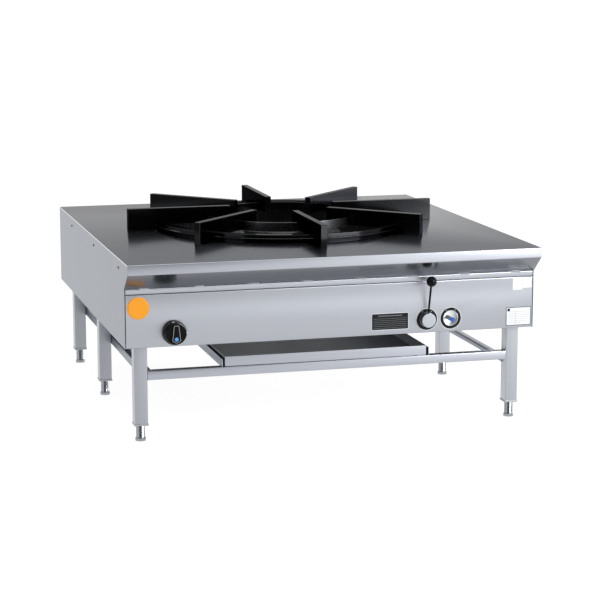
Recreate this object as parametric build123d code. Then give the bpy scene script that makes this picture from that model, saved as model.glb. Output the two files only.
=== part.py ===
from build123d import *
import math
import os

# Stockpot stove: one large burner in a low stainless body on six legs.
# Millimetres. +X right, +Y to the back, +Z up. Origin on the floor, under the deck's centre.

# Body
width = 1200.0
depth = 1232.0
deck_top = 515.0
deck_sheet = 2.0
skin = 1.5
fascia_height = 28.0
overhang = 55.3
chamfer_height = 46.7
strip_height = 16.0
body_height = 241.0
seam = 0.6
fold = 15.0
side_flange = 33.0
bottom_fold = 20.0

# Hooks along the front edge
hook_count = 8
hook_length = 28.0
hook_rise = 4.0
hook_sheet = 0.8
hook_from_side = 56.0
hook_lip = 0.3
hook_slot = 5.0
hook_slot_low = 0.5

# Side screws
screw_rows = 3
screw_from_front = 139.0
screw_from_rear = 260.0
screw_drop = 27.0
screw_head_radius = 3.6
screw_head_height = 1.2
screw_shank_radius = 2.3
screw_grip = 6.0
hole_clearance = 0.1

# Legs and feet
leg_size = 38.0
leg_wall = 1.5
leg_inset_x = 50.0
leg_inset_front = 108.0
leg_inset_rear = 51.0
middle_leg_y = 78.5
plug_flare = 1.2
plug_rim = 6.0
plug_depth = 34.0
foot_height = 45.0
foot_radius = 13.0
foot_base_radius = 15.0
foot_base_height = 9.0
foot_base_chamfer = 1.2
stem_radius = 8.0
stem_length = 40.0
running_clearance = 0.05

# Frame under the deck
frame_tube = 30.0
frame_wall = 1.5
bearer_gap = 18.5

# Lower rails
rail_top = 200.5
rail_height = 26.0
rail_depth = 25.0
rail_wall = 1.5
side_rail_top = 186.0
side_rail_flange = 25.0
side_rail_drop = 24.0
side_rail_sheet = 2.5
cross_rail_depth = 30.0

# Drip tray and its runners
tray_width = 597.0
tray_depth = 850.0
tray_height = 28.5
tray_sheet = 1.2
tray_centre_x = -11.5
tray_setback = 2.0
runner_gap = 6.0
runner_wall = 2.5
runner_rise = 22.5
runner_flange = 24.0
runner_sheet = 1.5

# Trivet
trivet_y = 27.5
arm_count = 8
arm_thickness = 19.0
arm_inner = 164.0
arm_outer = 481.0
arm_foot_gap = 1.5
arm_clearance = 16.0
trivet_rise = 66.0
hoop_width = 23.0
hoop_height = 10.5
inner_hoop_outer = 235.0
inner_hoop_wall = 6.0
inner_hoop_clearance = 12.0
inner_hoop_height = 28.0

# Burner well, hung by its lip over the deck's raised rim
rim_radius = 396.5
rim_rise = 15.0
well_sheet = 1.5
well_gap = 0.3
well_ledge_drop = 76.5
well_ledge_width = 40.0
well_funnel_taper = 139.0
well_funnel_drop = 138.5

# Burner
bar_x = 95.0
bar_width = 30.0
bar_height = 8.0
bar_end_gap = 3.0
ring_inner = 120.0
ring_outer = 180.0
ring_wall = 6.0
ring_height = 40.0
ring_floor = 6.0
centre_radius = 48.0
spoke_width = 34.0
spoke_count = 4
cap_height = 6.0
cap_lap = 2.0
port_radius = 2.4
outer_port_count = 48
inner_port_count = 32
centre_port_count = 10
port_margin = 14.0
centre_port_circle = 30.0
mixing_radius = 18.5
mixing_bore = 15.5
mixing_mouth_setback = 160.7
bell_radius = 33.0
bell_length = 24.0
bell_wall = 4.0
well_pipe_gap = 4.0

# Gas train
control_rise = 39.0
manifold_setback = 70.7
pipe_radius = 13.45
inlet_thread_radius = 13.2
inlet_thread_length = 20.0
feed_from_right = 180.0
inlet_end = 4.0
inlet_hole_gap = 1.5
tee_radius = 10.0
tee_reach = 18.0
elbow_growth = 1.22
burner_pipe_radius = 10.5
burner_pipe_setback = 32.7
injector_hex = 11.0
injector_length = 22.0
injector_gap = 10.0
jet_radius = 4.0
jet_length = 7.0
pilot_tube_radius = 3.0
pilot_well_gap = 132.2
pilot_offset = 7.5
pilot_drop = 45.0
pilot_riser_gap = 50.0
pilot_hole_gap = 1.0
pilot_low_drop = 115.0
pilot_head_radius = 7.0
pilot_head_drop = 15.0
pilot_head_height = 26.0
bracket_sheet = 1.5
bracket_rise = 6.0
bracket_edge = 10.0
bracket_well_gap = 1.0
electrode_radius = 1.6
electrode_offset = 28.0
electrode_height = 52.0
electrode_rise = 25.0

# Control knob
knob_from_left = 138.5
knob_rise = 40.0
knob_gap = 6.0
knob_radius = 34.0
knob_skirt = 6.0
knob_front_radius = 29.0
knob_height = 24.0
knob_shoulder = 2.0
pointer_width = 22.0
pointer_rise = 5.0
pointer_length = 54.0
pointer_point = 7.0
pointer_corner = 2.0
spindle_radius = 4.0
spindle_in_knob = 16.0
spindle_in_valve = 30.0
spindle_travel = 5.0
panel_hole_radius = 7.0
valve_width = 40.0
valve_nose_radius = 14.0
valve_nose = 12.0
bore_spare = 1.0

# Lever cock
lever_from_right = 325.0
hub_radius = 20.5
hub_length = 19.0
hub_gap = 1.5
lever_spindle_radius = 7.0
lever_hole_radius = 12.0
lever_rod_radius = 2.9
lever_rod_foot_depth = 10.3
ball_radius = 15.0
ball_stand = 37.3
ball_rise = 115.7
cock_width = 50.0
cock_nose_radius = 18.0

# Igniter
igniter_from_lever = 72.0
cup_radius = 22.4
cup_depth = 20.0
cup_wall = 1.0
button_offset = -3.0
barrel_radius = 5.5
barrel_front = 6.5
piezo_radius = 9.0
piezo_length = 34.0
plunger_radius = 3.0
plunger_length = 34.0
button_back = 13.5
button_front = 24.5
button_back_radius = 5.8
button_front_radius = 6.5

# Plates and labels on the control panel
badge_radius = 31.0
badge_from_left = 39.0
badge_from_top = 37.7
badge_thick = 2.0
plate_from_lever = 166.0
plate_width = 111.0
plate_drop = 25.0
plate_height = 49.0
plate_corner = 3.0
plate_thick = 0.8
label_thick = 0.4
label_radius = 32.5
lever_label_inner = 21.5
igniter_label_inner = 22.5
data_from_right = 84.0
data_width = 77.0
data_from_bottom = 7.0
data_height = 54.6
data_thick = 0.5
data_corner = 1.0
sticker_thick = 0.2
sticker_corner = 1.5
# From the right side, from the panel's top, width and height
stickers = [(64.0, 38.0, 30.0, 34.6), (33.0, 32.7, 27.0, 31.0)]

# How far a cutting solid reaches past the face it cuts
overcut = 1.0

# Places worked out from the sizes above
front = -depth / 2
rear = depth / 2
side = width / 2
deck_under = deck_top - deck_sheet
panel_y = front + overhang
panel_bottom = deck_top - body_height
control_z = panel_bottom + control_rise
chamfer_top = deck_top - fascia_height
chamfer_low = chamfer_top - chamfer_height
panel_top = chamfer_low - strip_height - seam
leg_x = side - leg_inset_x
leg_rows = {
    "front": front + leg_inset_front,
    "middle": middle_leg_y,
    "rear": rear - leg_inset_rear,
}
leg_inner_face = leg_x - leg_size / 2
frame_bottom = deck_under - frame_tube
rear_panel_y = leg_rows["rear"] + leg_size / 2
front_rail_y = leg_rows["front"] - leg_size / 2
tray_left = tray_centre_x - tray_width / 2
tray_right = tray_centre_x + tray_width / 2
tray_front = front_rail_y + tray_setback
collar_inner = rim_radius - deck_sheet
collar_top = deck_top + rim_rise - well_sheet
well_radius = collar_inner - well_gap
well_ledge_z = deck_top - well_ledge_drop
well_ledge_radius = well_radius - well_ledge_width
bearer_x = rim_radius + bearer_gap
bar_bottom = well_ledge_z + well_sheet
burner_bottom = bar_bottom + bar_height
burner_top = burner_bottom + ring_height
mixing_z = burner_bottom + ring_height / 2
mixing_mouth_y = panel_y + mixing_mouth_setback
manifold_y = panel_y + manifold_setback
feed_x = side - feed_from_right
burner_pipe_y = panel_y + burner_pipe_setback
knob_x = knob_from_left - side
knob_z = panel_bottom + knob_rise
lever_x = side - lever_from_right
igniter_x = lever_x + igniter_from_lever
pilot_x = pilot_well_gap - well_radius
pilot_y = trivet_y - pilot_offset
pilot_level = deck_top - pilot_drop
pilot_riser_x = -well_radius - pilot_riser_gap

os.makedirs("parts", exist_ok=True)


def save(name, shape):
    """Writes one named piece."""
    export_step(shape, f"parts/{name}.step")


def block(x0, x1, y0, y1, z0, z1):
    """A box between two opposite corners."""
    centre = ((x0 + x1) / 2, (y0 + y1) / 2, (z0 + z1) / 2)
    return Pos(*centre) * Box(x1 - x0, y1 - y0, z1 - z0)


def rod_y(x, z, y0, y1, radius):
    """A round bar along Y."""
    return Pos(x, (y0 + y1) / 2, z) * Rot(90, 0, 0) * Cylinder(radius, y1 - y0)


def rod_z(x, y, z0, z1, radius):
    """A round bar along Z."""
    return Pos(x, y, (z0 + z1) / 2) * Cylinder(radius, z1 - z0)


def cone_y(x, z, y0, y1, radius0, radius1):
    """A cone along Y, with radius0 at y0 and radius1 at y1."""
    return Pos(x, (y0 + y1) / 2, z) * Rot(-90, 0, 0) * Cone(radius0, radius1, y1 - y0)


def ring_z(x, y, z0, z1, outer, inner):
    """A flat ring about a vertical axis."""
    return rod_z(x, y, z0, z1, outer) - rod_z(x, y, z0, z1, inner)


def ring_y(x, z, y0, y1, outer, inner):
    """A flat ring about an axis along Y."""
    return rod_y(x, z, y0, y1, outer) - rod_y(x, z, y0, y1, inner)


def along_x(outline, x0, x1):
    """A closed outline of (y, z) points, drawn out from x0 to x1."""
    edge = Polyline(*[(x0, y, z) for y, z in outline], close=True)
    return extrude(make_face(edge), x1 - x0, dir=(1, 0, 0))


def beside(path, distance):
    """The path moved to its left by a distance, with mitred corners."""
    normals = []
    for (a0, b0), (a1, b1) in zip(path, path[1:]):
        length = math.hypot(a1 - a0, b1 - b0)
        normals.append((-(b1 - b0) / length, (a1 - a0) / length))
    moved = []
    for i, (a, b) in enumerate(path):
        before = normals[max(i - 1, 0)]
        after = normals[min(i, len(normals) - 1)]
        share = distance / (1 + before[0] * after[0] + before[1] * after[1])
        moved.append((a + share * (before[0] + after[0]), b + share * (before[1] + after[1])))
    return moved


def folded(path, sheet, x0, x1):
    """A folded sheet whose outer face follows a path of (y, z) points."""
    return along_x(path + beside(path, sheet)[::-1], x0, x1)


def turned(path, sheet, x, y):
    """A spun sheet whose outer face follows a path of (radius, z) points."""
    outline = path + beside(path, sheet)[::-1]
    edge = Polyline(*[(r, 0, z) for r, z in outline], close=True)
    return Pos(x, y, 0) * revolve(make_face(edge), axis=Axis.Z)


def tube(x0, x1, y0, y1, z0, z1, wall, axis):
    """A square or oblong tube along one axis, open at both ends."""
    inner = [x0, x1, y0, y1, z0, z1]
    for i, name in enumerate("xyz"):
        if name != axis:
            inner[2 * i] += wall
            inner[2 * i + 1] -= wall
    return block(x0, x1, y0, y1, z0, z1) - block(*inner)


def pipe(points, radius, elbow):
    """A pipe of straight runs, with a round elbow at each corner."""
    run = None
    for start, end in zip(points, points[1:]):
        line = Vector(*end) - Vector(*start)
        place = Plane(origin=start, z_dir=line)
        piece = place * Pos(0, 0, line.length / 2) * Cylinder(radius, line.length)
        run = piece if run is None else run + piece
    for corner in points[1:-1]:
        run += Pos(*corner) * Sphere(elbow)
    return run


def plate(x0, z0, wide, high, thick, corner):
    """A thin plate with round corners on the control panel's face."""
    face = RectangleRounded(wide, high, corner)
    place = Plane(origin=(x0 + wide / 2, panel_y, z0 + high / 2), x_dir=(1, 0, 0), z_dir=(0, -1, 0))
    return extrude(place * face, thick)


# Deck: top, front fascia, sloped underside and folds in one sheet, and the raised rim round the well
deck_path = [
    (rear, deck_top - fascia_height),
    (rear, deck_top),
    (front, deck_top),
    (front, chamfer_top),
    (panel_y, chamfer_low),
    (panel_y + fold, chamfer_low),
]
deck = folded(deck_path, deck_sheet, -side + skin, side - skin)
deck += block(-side, side, front, rear, deck_under, deck_top)
for hand in (-1, 1):
    outer_face = hand * (side - skin)
    inner_face = hand * (side - 2 * skin)
    low_x, high_x = sorted((outer_face, inner_face))
    deck += block(low_x, high_x, panel_y, rear - deck_sheet, deck_top - side_flange, deck_under)
deck += rod_z(0, trivet_y, deck_under, collar_top, rim_radius)
deck -= rod_z(0, trivet_y, deck_under - overcut, collar_top + overcut, collar_inner)

# Slots for the hooks, cut through the sloped underside at its lower edge
slope_length = math.hypot(overhang, chamfer_height)
up_slope = (-overhang / slope_length, chamfer_height / slope_length)
outward = (-chamfer_height / slope_length, -overhang / slope_length)


def on_slope(rise, out):
    """A (y, z) point of the sloped underside, measured from its lower edge."""
    return (
        panel_y + rise * up_slope[0] + out * outward[0],
        chamfer_low + rise * up_slope[1] + out * outward[1],
    )


slot_outline = [
    on_slope(hook_slot_low, overcut),
    on_slope(hook_rise, overcut),
    on_slope(hook_rise, -deck_sheet - overcut),
    on_slope(hook_slot_low, -deck_sheet - overcut),
]
hook_outline = [
    (panel_y, chamfer_low - hook_rise),
    (panel_y - hook_sheet, chamfer_low - hook_rise),
    (panel_y - hook_sheet, chamfer_low - hook_lip),
    on_slope(hook_rise, hook_sheet),
    on_slope(hook_rise, 0),
    on_slope(0, 0),
]
hook_pitch = (width - 2 * hook_from_side) / (hook_count - 1)
hook_middles = [hook_from_side - side + i * hook_pitch for i in range(hook_count)]
for x in hook_middles:
    left_end = x - hook_length / 2
    deck -= along_x(slot_outline, left_end - hook_slot, left_end)

# Strip with the hooks that the control panel hangs from
strip_path = [
    (panel_y + fold, chamfer_low),
    (panel_y, chamfer_low),
    (panel_y, chamfer_low - strip_height),
    (panel_y + fold, chamfer_low - strip_height),
]
hook_strip = folded(strip_path, skin, -side + skin, side - skin)
for x in hook_middles:
    hook_strip += along_x(hook_outline, x - hook_length / 2, x + hook_length / 2)
save("hook_strip", hook_strip)

# Control panel
panel_path = [
    (panel_y + fold, panel_top),
    (panel_y, panel_top),
    (panel_y, panel_bottom),
    (panel_y + bottom_fold, panel_bottom),
]
control_panel = folded(panel_path, skin, -side + skin, side - skin)
panel_holes = [
    (knob_x, knob_z, panel_hole_radius),
    (lever_x, control_z, lever_hole_radius),
    (igniter_x, control_z, igniter_label_inner),
]
for x, z, radius in panel_holes:
    control_panel -= rod_y(x, z, panel_y - overcut, panel_y + skin + overcut, radius)
save("control_panel", control_panel)

# Side panels, with their screws
side_outline = [
    (rear, deck_under),
    (front, deck_under),
    (front, chamfer_top),
    (panel_y, chamfer_low),
    (panel_y, panel_bottom),
    (rear, panel_bottom),
]
screws = []
screw_first_y = front + screw_from_front
screw_pitch = (rear - screw_from_rear - screw_first_y) / (screw_rows - 1)
for hand, name in ((-1, "left"), (1, "right")):
    outer_face = hand * side
    inner_face = hand * (side - skin)
    fold_face = hand * (side - skin - fold)
    low_x, high_x = sorted((outer_face, inner_face))
    fold_low, fold_high = sorted((inner_face, fold_face))
    panel = along_x(side_outline, low_x, high_x)
    panel += block(fold_low, fold_high, panel_y + bottom_fold + fold, rear, panel_bottom, panel_bottom + skin)
    panel += block(fold_low, fold_high, rear - skin, rear, panel_bottom, deck_top - side_flange)
    for row in range(screw_rows):
        y = screw_first_y + row * screw_pitch
        z = deck_top - screw_drop
        turn = Rot(0, 90, 0)
        shank = Pos(hand * (side - screw_grip / 2), y, z) * turn * Cylinder(screw_shank_radius, screw_grip)
        head_x = hand * (side + screw_head_height / 2)
        head = Pos(head_x, y, z) * turn * Cylinder(screw_head_radius, screw_head_height)
        hole = Pos(hand * side, y, z) * turn * Cylinder(screw_shank_radius + hole_clearance, 4 * screw_grip)
        panel -= hole
        deck -= hole
        screws.append(head + shank)
    save(f"{name}_side_panel", panel)
save("side_screws", Compound(children=screws))
save("deck", deck)

# Rear panel, set forward of the deck's rear edge to leave room for the gas inlet
rear_panel_low = panel_bottom + skin
rear_path = [
    (rear_panel_y + fold, deck_under),
    (rear_panel_y, deck_under),
    (rear_panel_y, rear_panel_low),
    (rear_panel_y + fold, rear_panel_low),
]
rear_panel = folded(rear_path, skin, -side + 2 * skin, side - 2 * skin)
inlet_hole = pipe_radius + inlet_hole_gap
rear_panel -= rod_y(feed_x, control_z, rear_panel_y - overcut, rear_panel_y + skin + overcut, inlet_hole)
save("rear_panel", rear_panel)

# Legs, their end plugs and their screw feet
plugs = []
for row, y in leg_rows.items():
    for hand, name in ((-1, "left"), (1, "right")):
        x = hand * leg_x
        half = leg_size / 2
        rim_top = foot_height + plug_rim
        leg = tube(x - half, x + half, y - half, y + half, rim_top, frame_bottom, leg_wall, "z")
        save(f"leg_{row}_{name}", leg)
        rim = half + plug_flare
        inside = half - leg_wall
        plug = block(x - rim, x + rim, y - rim, y + rim, foot_height, rim_top)
        plug += block(x - inside, x + inside, y - inside, y + inside, rim_top, rim_top + plug_depth)
        stem_hole = stem_radius + running_clearance
        plug -= rod_z(x, y, foot_height - overcut, rim_top + plug_depth + overcut, stem_hole)
        plugs.append(plug)
        base = rod_z(x, y, 0, foot_base_height, foot_base_radius)
        base = chamfer(base.edges().group_by(Axis.Z)[0], foot_base_chamfer)
        foot = base + rod_z(x, y, foot_base_height, foot_height, foot_radius)
        foot += rod_z(x, y, foot_height, foot_height + stem_length, stem_radius)
        save(f"foot_{row}_{name}", foot)
save("leg_plugs", Compound(children=plugs))

# Tube frame under the deck, with two bearers that carry the trivet's load
frame_side = leg_x + leg_size / 2
frame_front = leg_rows["front"] - leg_size / 2
frame_rear = leg_rows["rear"] + leg_size / 2
frame_levels = (frame_bottom, deck_under, frame_wall)
members = [
    tube(-frame_side, frame_side, frame_front, frame_front + frame_tube, *frame_levels, "x"),
    tube(-frame_side, frame_side, frame_rear - frame_tube, frame_rear, *frame_levels, "x"),
]
half_tube = frame_tube / 2
for x in (half_tube - frame_side, -bearer_x, bearer_x, frame_side - half_tube):
    inner_front = frame_front + frame_tube
    inner_rear = frame_rear - frame_tube
    members.append(tube(x - half_tube, x + half_tube, inner_front, inner_rear, *frame_levels, "y"))
save("deck_frame", Compound(children=members))

# Front and rear rails between the legs
front_rail = tube(
    -leg_inner_face, leg_inner_face,
    front_rail_y, front_rail_y + rail_depth,
    rail_top - rail_height, rail_top,
    rail_wall, "x",
)
save("front_rail", front_rail)
runner_seat = rail_top - runner_sheet
rear_rail_front = leg_rows["rear"] - rail_depth / 2
rear_rail = tube(
    -leg_inner_face, leg_inner_face,
    rear_rail_front, rear_rail_front + rail_depth,
    runner_seat - rail_height, runner_seat,
    rail_wall, "x",
)
save("rear_rail", rear_rail)

# Side rails: angles against the legs' inner faces
side_rail_front = front_rail_y + rail_depth
for hand, name in ((-1, "left"), (1, "right")):
    wall = sorted((hand * leg_inner_face, hand * (leg_inner_face - side_rail_sheet)))
    flange = sorted((hand * leg_inner_face, hand * (leg_inner_face - side_rail_flange)))
    angle = block(*wall, side_rail_front, rear_rail_front, side_rail_top - side_rail_drop, side_rail_top)
    angle += block(*flange, side_rail_front, rear_rail_front, side_rail_top - side_rail_sheet, side_rail_top)
    save(f"{name}_side_rail", angle)

# Cross rail that rests on the side rails and carries the tray runners
cross_rail = tube(
    -leg_inner_face, leg_inner_face,
    middle_leg_y - cross_rail_depth / 2, middle_leg_y + cross_rail_depth / 2,
    side_rail_top, runner_seat,
    rail_wall, "x",
)
save("middle_cross_rail", cross_rail)

# Drip tray and its two runners
tray_rear = tray_front + tray_depth
tray = block(tray_left, tray_right, tray_front, tray_rear, rail_top, rail_top + tray_height)
tray -= block(
    tray_left + tray_sheet, tray_right - tray_sheet,
    tray_front + tray_sheet, tray_rear - tray_sheet,
    rail_top + tray_sheet, rail_top + tray_height + overcut,
)
save("drip_tray", tray)
runner_rear = rear_rail_front + rail_depth
runners = []
for hand, tray_edge in ((-1, tray_left), (1, tray_right)):
    wall = sorted((tray_edge + hand * runner_gap, tray_edge + hand * (runner_gap + runner_wall)))
    flange_edge = tray_edge + hand * (runner_gap + runner_wall - runner_flange)
    flange = sorted((tray_edge + hand * (runner_gap + runner_wall), flange_edge))
    runner = block(*wall, tray_front, runner_rear, rail_top, rail_top + runner_rise)
    runner += block(*flange, side_rail_front, runner_rear, runner_seat, rail_top)
    runners.append(runner)
save("tray_runners", Compound(children=runners))

# Trivet: eight plates on edge, an outer hoop and an inner hoop
arm_bottom = deck_top + arm_clearance
arm_foot_inner = rim_radius + arm_foot_gap
trivet_top = deck_top + trivet_rise
arm_outline = [
    (arm_inner, arm_bottom),
    (arm_foot_inner, arm_bottom),
    (arm_foot_inner, deck_top),
    (arm_outer, deck_top),
    (arm_outer, trivet_top),
    (arm_inner, trivet_top),
]
arm_edge = Polyline(*[(r, arm_thickness / 2, z) for r, z in arm_outline], close=True)
first_arm = extrude(make_face(arm_edge), arm_thickness, dir=(0, -1, 0))
arms = []
for i in range(arm_count):
    arm = Pos(0, trivet_y, 0) * Rot(0, 0, i * 360 / arm_count) * first_arm
    save(f"trivet_arm_{i + 1}", arm)
    arms.append(arm)
hoop_top = arm_bottom + hoop_height
outer_hoop = ring_z(0, trivet_y, arm_bottom, hoop_top, rim_radius, rim_radius - hoop_width)
inner_hoop_inner = inner_hoop_outer - inner_hoop_wall
inner_hoop_bottom = deck_top + inner_hoop_clearance
inner_hoop_top = inner_hoop_bottom + inner_hoop_height
inner_hoop = ring_z(0, trivet_y, inner_hoop_bottom, inner_hoop_top, inner_hoop_outer, inner_hoop_inner)
for arm in arms:
    outer_hoop -= arm
    inner_hoop -= arm
save("trivet_outer_hoop", outer_hoop)
save("trivet_inner_hoop", inner_hoop)

# Burner well: lip over the rim, wall, ledge for the burner bars and an open funnel
well_path = [
    (rim_radius, collar_top),
    (well_radius, collar_top),
    (well_radius, well_ledge_z),
    (well_ledge_radius, well_ledge_z),
    (well_ledge_radius - well_funnel_taper, well_ledge_z - well_funnel_drop),
]
well = turned(well_path[::-1], well_sheet, 0, trivet_y)
mixing_hole_end = trivet_y - well_ledge_radius
well -= rod_y(0, mixing_z, trivet_y - rim_radius, mixing_hole_end, mixing_radius + well_pipe_gap)
pilot_run = Pos((pilot_x + pilot_riser_x) / 2, pilot_y, pilot_level) * Rot(0, 90, 0)
well -= pilot_run * Cylinder(pilot_tube_radius + pilot_hole_gap, pilot_x - pilot_riser_x)
save("burner_well", well)

# Two bars across the well that carry the burner
bar_reach = math.sqrt((well_radius - well_sheet - bar_end_gap) ** 2 - (bar_x + bar_width / 2) ** 2)
half = bar_width / 2
bar = block(-half, half, trivet_y - bar_reach, trivet_y + bar_reach, bar_bottom, burner_bottom)
bars = [Pos(x, 0, 0) * bar for x in (-bar_x, bar_x)]
save("burner_bars", Compound(children=bars))

# Cast burner: outer ring and centre cup joined by arms, with its mixing tube
floor_z = burner_bottom + ring_floor
casting = ring_z(0, trivet_y, burner_bottom, burner_top, ring_outer, ring_inner)
casting += rod_z(0, trivet_y, burner_bottom, burner_top, centre_radius)
channel_top = burner_top - ring_floor
spokes = []
channels = []
for i in range(spoke_count):
    turn = Pos(0, trivet_y, 0) * Rot(0, 0, (i + 0.5) * 360 / spoke_count)
    half = spoke_width / 2
    inner_end = centre_radius - ring_wall
    outer_end = ring_inner + ring_wall / 2
    spokes.append(turn * block(inner_end, outer_end, -half, half, burner_bottom, burner_top))
    half -= ring_wall
    inner_end = centre_radius - 2 * ring_wall
    outer_end = ring_inner + 2 * ring_wall
    channels.append(turn * block(inner_end, outer_end, -half, half, floor_z, channel_top))
for spoke in spokes:
    casting += spoke
mixing_end = trivet_y - (ring_outer + ring_inner) / 2
casting += rod_y(0, mixing_z, mixing_mouth_y, mixing_end, mixing_radius)
casting += cone_y(0, mixing_z, mixing_mouth_y, mixing_mouth_y + bell_length, bell_radius, mixing_radius)
casting -= ring_z(0, trivet_y, floor_z, burner_top + overcut, ring_outer - ring_wall, ring_inner + ring_wall)
casting -= rod_z(0, trivet_y, floor_z, burner_top + overcut, centre_radius - ring_wall)
for channel in channels:
    casting -= channel
casting -= rod_y(0, mixing_z, mixing_mouth_y, mixing_end, mixing_bore)
bell_end = mixing_mouth_y + bell_length
casting -= cone_y(0, mixing_z, mixing_mouth_y, bell_end, bell_radius - bell_wall, mixing_bore)
save("burner_casting", casting)

# Burner caps with their flame ports
cap_top = burner_top + cap_height
ring_cap = ring_z(0, trivet_y, burner_top, cap_top, ring_outer + cap_lap, ring_inner - cap_lap)
centre_cap = rod_z(0, trivet_y, burner_top, cap_top, centre_radius + cap_lap)


def drilled(cap, circle, count):
    """The cap with a circle of flame ports."""
    for i in range(count):
        angle = 2 * math.pi * i / count
        x = circle * math.cos(angle)
        y = trivet_y + circle * math.sin(angle)
        cap -= rod_z(x, y, burner_top - overcut, cap_top + overcut, port_radius)
    return cap


ring_cap = drilled(ring_cap, ring_outer - port_margin, outer_port_count)
ring_cap = drilled(ring_cap, ring_inner + port_margin, inner_port_count)
centre_cap = drilled(centre_cap, centre_port_circle, centre_port_count)
save("burner_caps", Compound(children=[ring_cap, centre_cap]))

# Gas pipe: rear inlet, feed along the right side and manifold behind the panel
inlet_y = rear - inlet_end
thread_start = inlet_y - inlet_thread_length
manifold = pipe(
    [(feed_x, thread_start, control_z), (feed_x, manifold_y, control_z), (knob_x, manifold_y, control_z)],
    pipe_radius,
    pipe_radius * elbow_growth,
)
manifold += rod_y(knob_x, control_z, manifold_y - tee_reach, manifold_y, tee_radius)
manifold += rod_y(lever_x, control_z, manifold_y - tee_reach, manifold_y, tee_radius)
manifold += Pos(knob_x, manifold_y, control_z) * Sphere(pipe_radius)
manifold += rod_y(feed_x, control_z, thread_start, inlet_y, inlet_thread_radius)
save("gas_manifold", manifold)

# Gas valve behind the knob
valve_back = manifold_y - tee_reach
valve_front = panel_y + skin
nose_end = valve_front + valve_nose
half = valve_width / 2
knob_valve = block(knob_x - half, knob_x + half, nose_end, valve_back, knob_z - half, knob_z + half)
knob_valve += rod_y(knob_x, knob_z, valve_front, nose_end, valve_nose_radius)
spindle_inner_end = nose_end + spindle_in_valve
bore_end = spindle_inner_end + spindle_travel + bore_spare
knob_valve -= rod_y(knob_x, knob_z, valve_front - overcut, bore_end, spindle_radius + running_clearance)
save("knob_valve", knob_valve)

# Knob, its raised pointer bar and its spindle
knob_back = panel_y - knob_gap
knob_front = knob_back - knob_height
skirt_front = knob_back - knob_skirt
knob = rod_y(knob_x, knob_z, skirt_front, knob_back, knob_radius)
knob += cone_y(knob_x, knob_z, knob_front, skirt_front, knob_front_radius, knob_radius - knob_shoulder)
pointer_top = knob_z + pointer_length / 2
pointer_low = knob_z - pointer_length / 2
pointer_shape = [
    (-pointer_width / 2 + pointer_corner, pointer_top),
    (pointer_width / 2 - pointer_corner, pointer_top),
    (pointer_width / 2, pointer_low + pointer_point),
    (0, pointer_low),
    (-pointer_width / 2, pointer_low + pointer_point),
]
pointer_edge = Polyline(*[(knob_x + x, knob_front, z) for x, z in pointer_shape], close=True)
knob += extrude(make_face(pointer_edge), pointer_rise, dir=(0, -1, 0))
spindle_end = knob_back - spindle_in_knob
knob -= rod_y(knob_x, knob_z, spindle_end, knob_back + overcut, spindle_radius + running_clearance)
save("control_knob", knob)
spindle_tip = spindle_end + running_clearance
save("knob_spindle", rod_y(knob_x, knob_z, spindle_tip, spindle_inner_end, spindle_radius))

# Main gas cock behind the lever
half = cock_width / 2
cock_nose_end = valve_front + valve_nose
main_cock = block(-half, half, cock_nose_end, valve_back, -half, half)
main_cock = Pos(lever_x, 0, control_z) * main_cock
main_cock += rod_y(lever_x, control_z, valve_front, cock_nose_end, cock_nose_radius)
lever_spindle_end = cock_nose_end + spindle_in_valve
cock_bore = lever_spindle_radius + running_clearance
main_cock -= rod_y(lever_x, control_z, valve_front - overcut, lever_spindle_end + bore_spare, cock_bore)
save("main_gas_cock", main_cock)

# Lever: hub with its spindle, rod and ball
hub_back = panel_y - hub_gap
hub_front = hub_back - hub_length
lever_spindle = rod_y(lever_x, control_z, hub_back - hub_length / 2, lever_spindle_end, lever_spindle_radius)
rod_foot = Vector(lever_x, panel_y - lever_rod_foot_depth, control_z + lever_spindle_radius + bore_spare)
ball_centre = Vector(lever_x, panel_y - ball_stand, control_z + ball_rise)
rod_line = ball_centre - rod_foot
rod_place = Plane(origin=rod_foot, z_dir=rod_line)
lever_rod = rod_place * Pos(0, 0, rod_line.length / 2) * Cylinder(lever_rod_radius, rod_line.length)
hub = rod_y(lever_x, control_z, hub_front, hub_back, hub_radius)
hub = hub + lever_spindle - lever_rod
ball = Pos(*ball_centre) * Sphere(ball_radius) - lever_rod
save("lever_hub", hub)
save("lever_rod", lever_rod)
save("lever_ball", ball)

# Pipe from the cock to the burner's injector
injector_front = mixing_mouth_y - injector_gap - injector_length - jet_length
feed_pipe = pipe(
    [
        (lever_x, burner_pipe_y, control_z + half),
        (lever_x, burner_pipe_y, mixing_z),
        (0, burner_pipe_y, mixing_z),
        (0, injector_front, mixing_z),
    ],
    burner_pipe_radius,
    burner_pipe_radius * elbow_growth,
)
save("burner_feed_pipe", feed_pipe)
hex_face = Plane(origin=(0, injector_front, mixing_z), z_dir=(0, 1, 0)) * RegularPolygon(injector_hex, 6)
injector = extrude(hex_face, injector_length)
jet_start = injector_front + injector_length
injector += rod_y(0, mixing_z, jet_start, jet_start + jet_length, jet_radius)
save("injector", injector)

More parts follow.
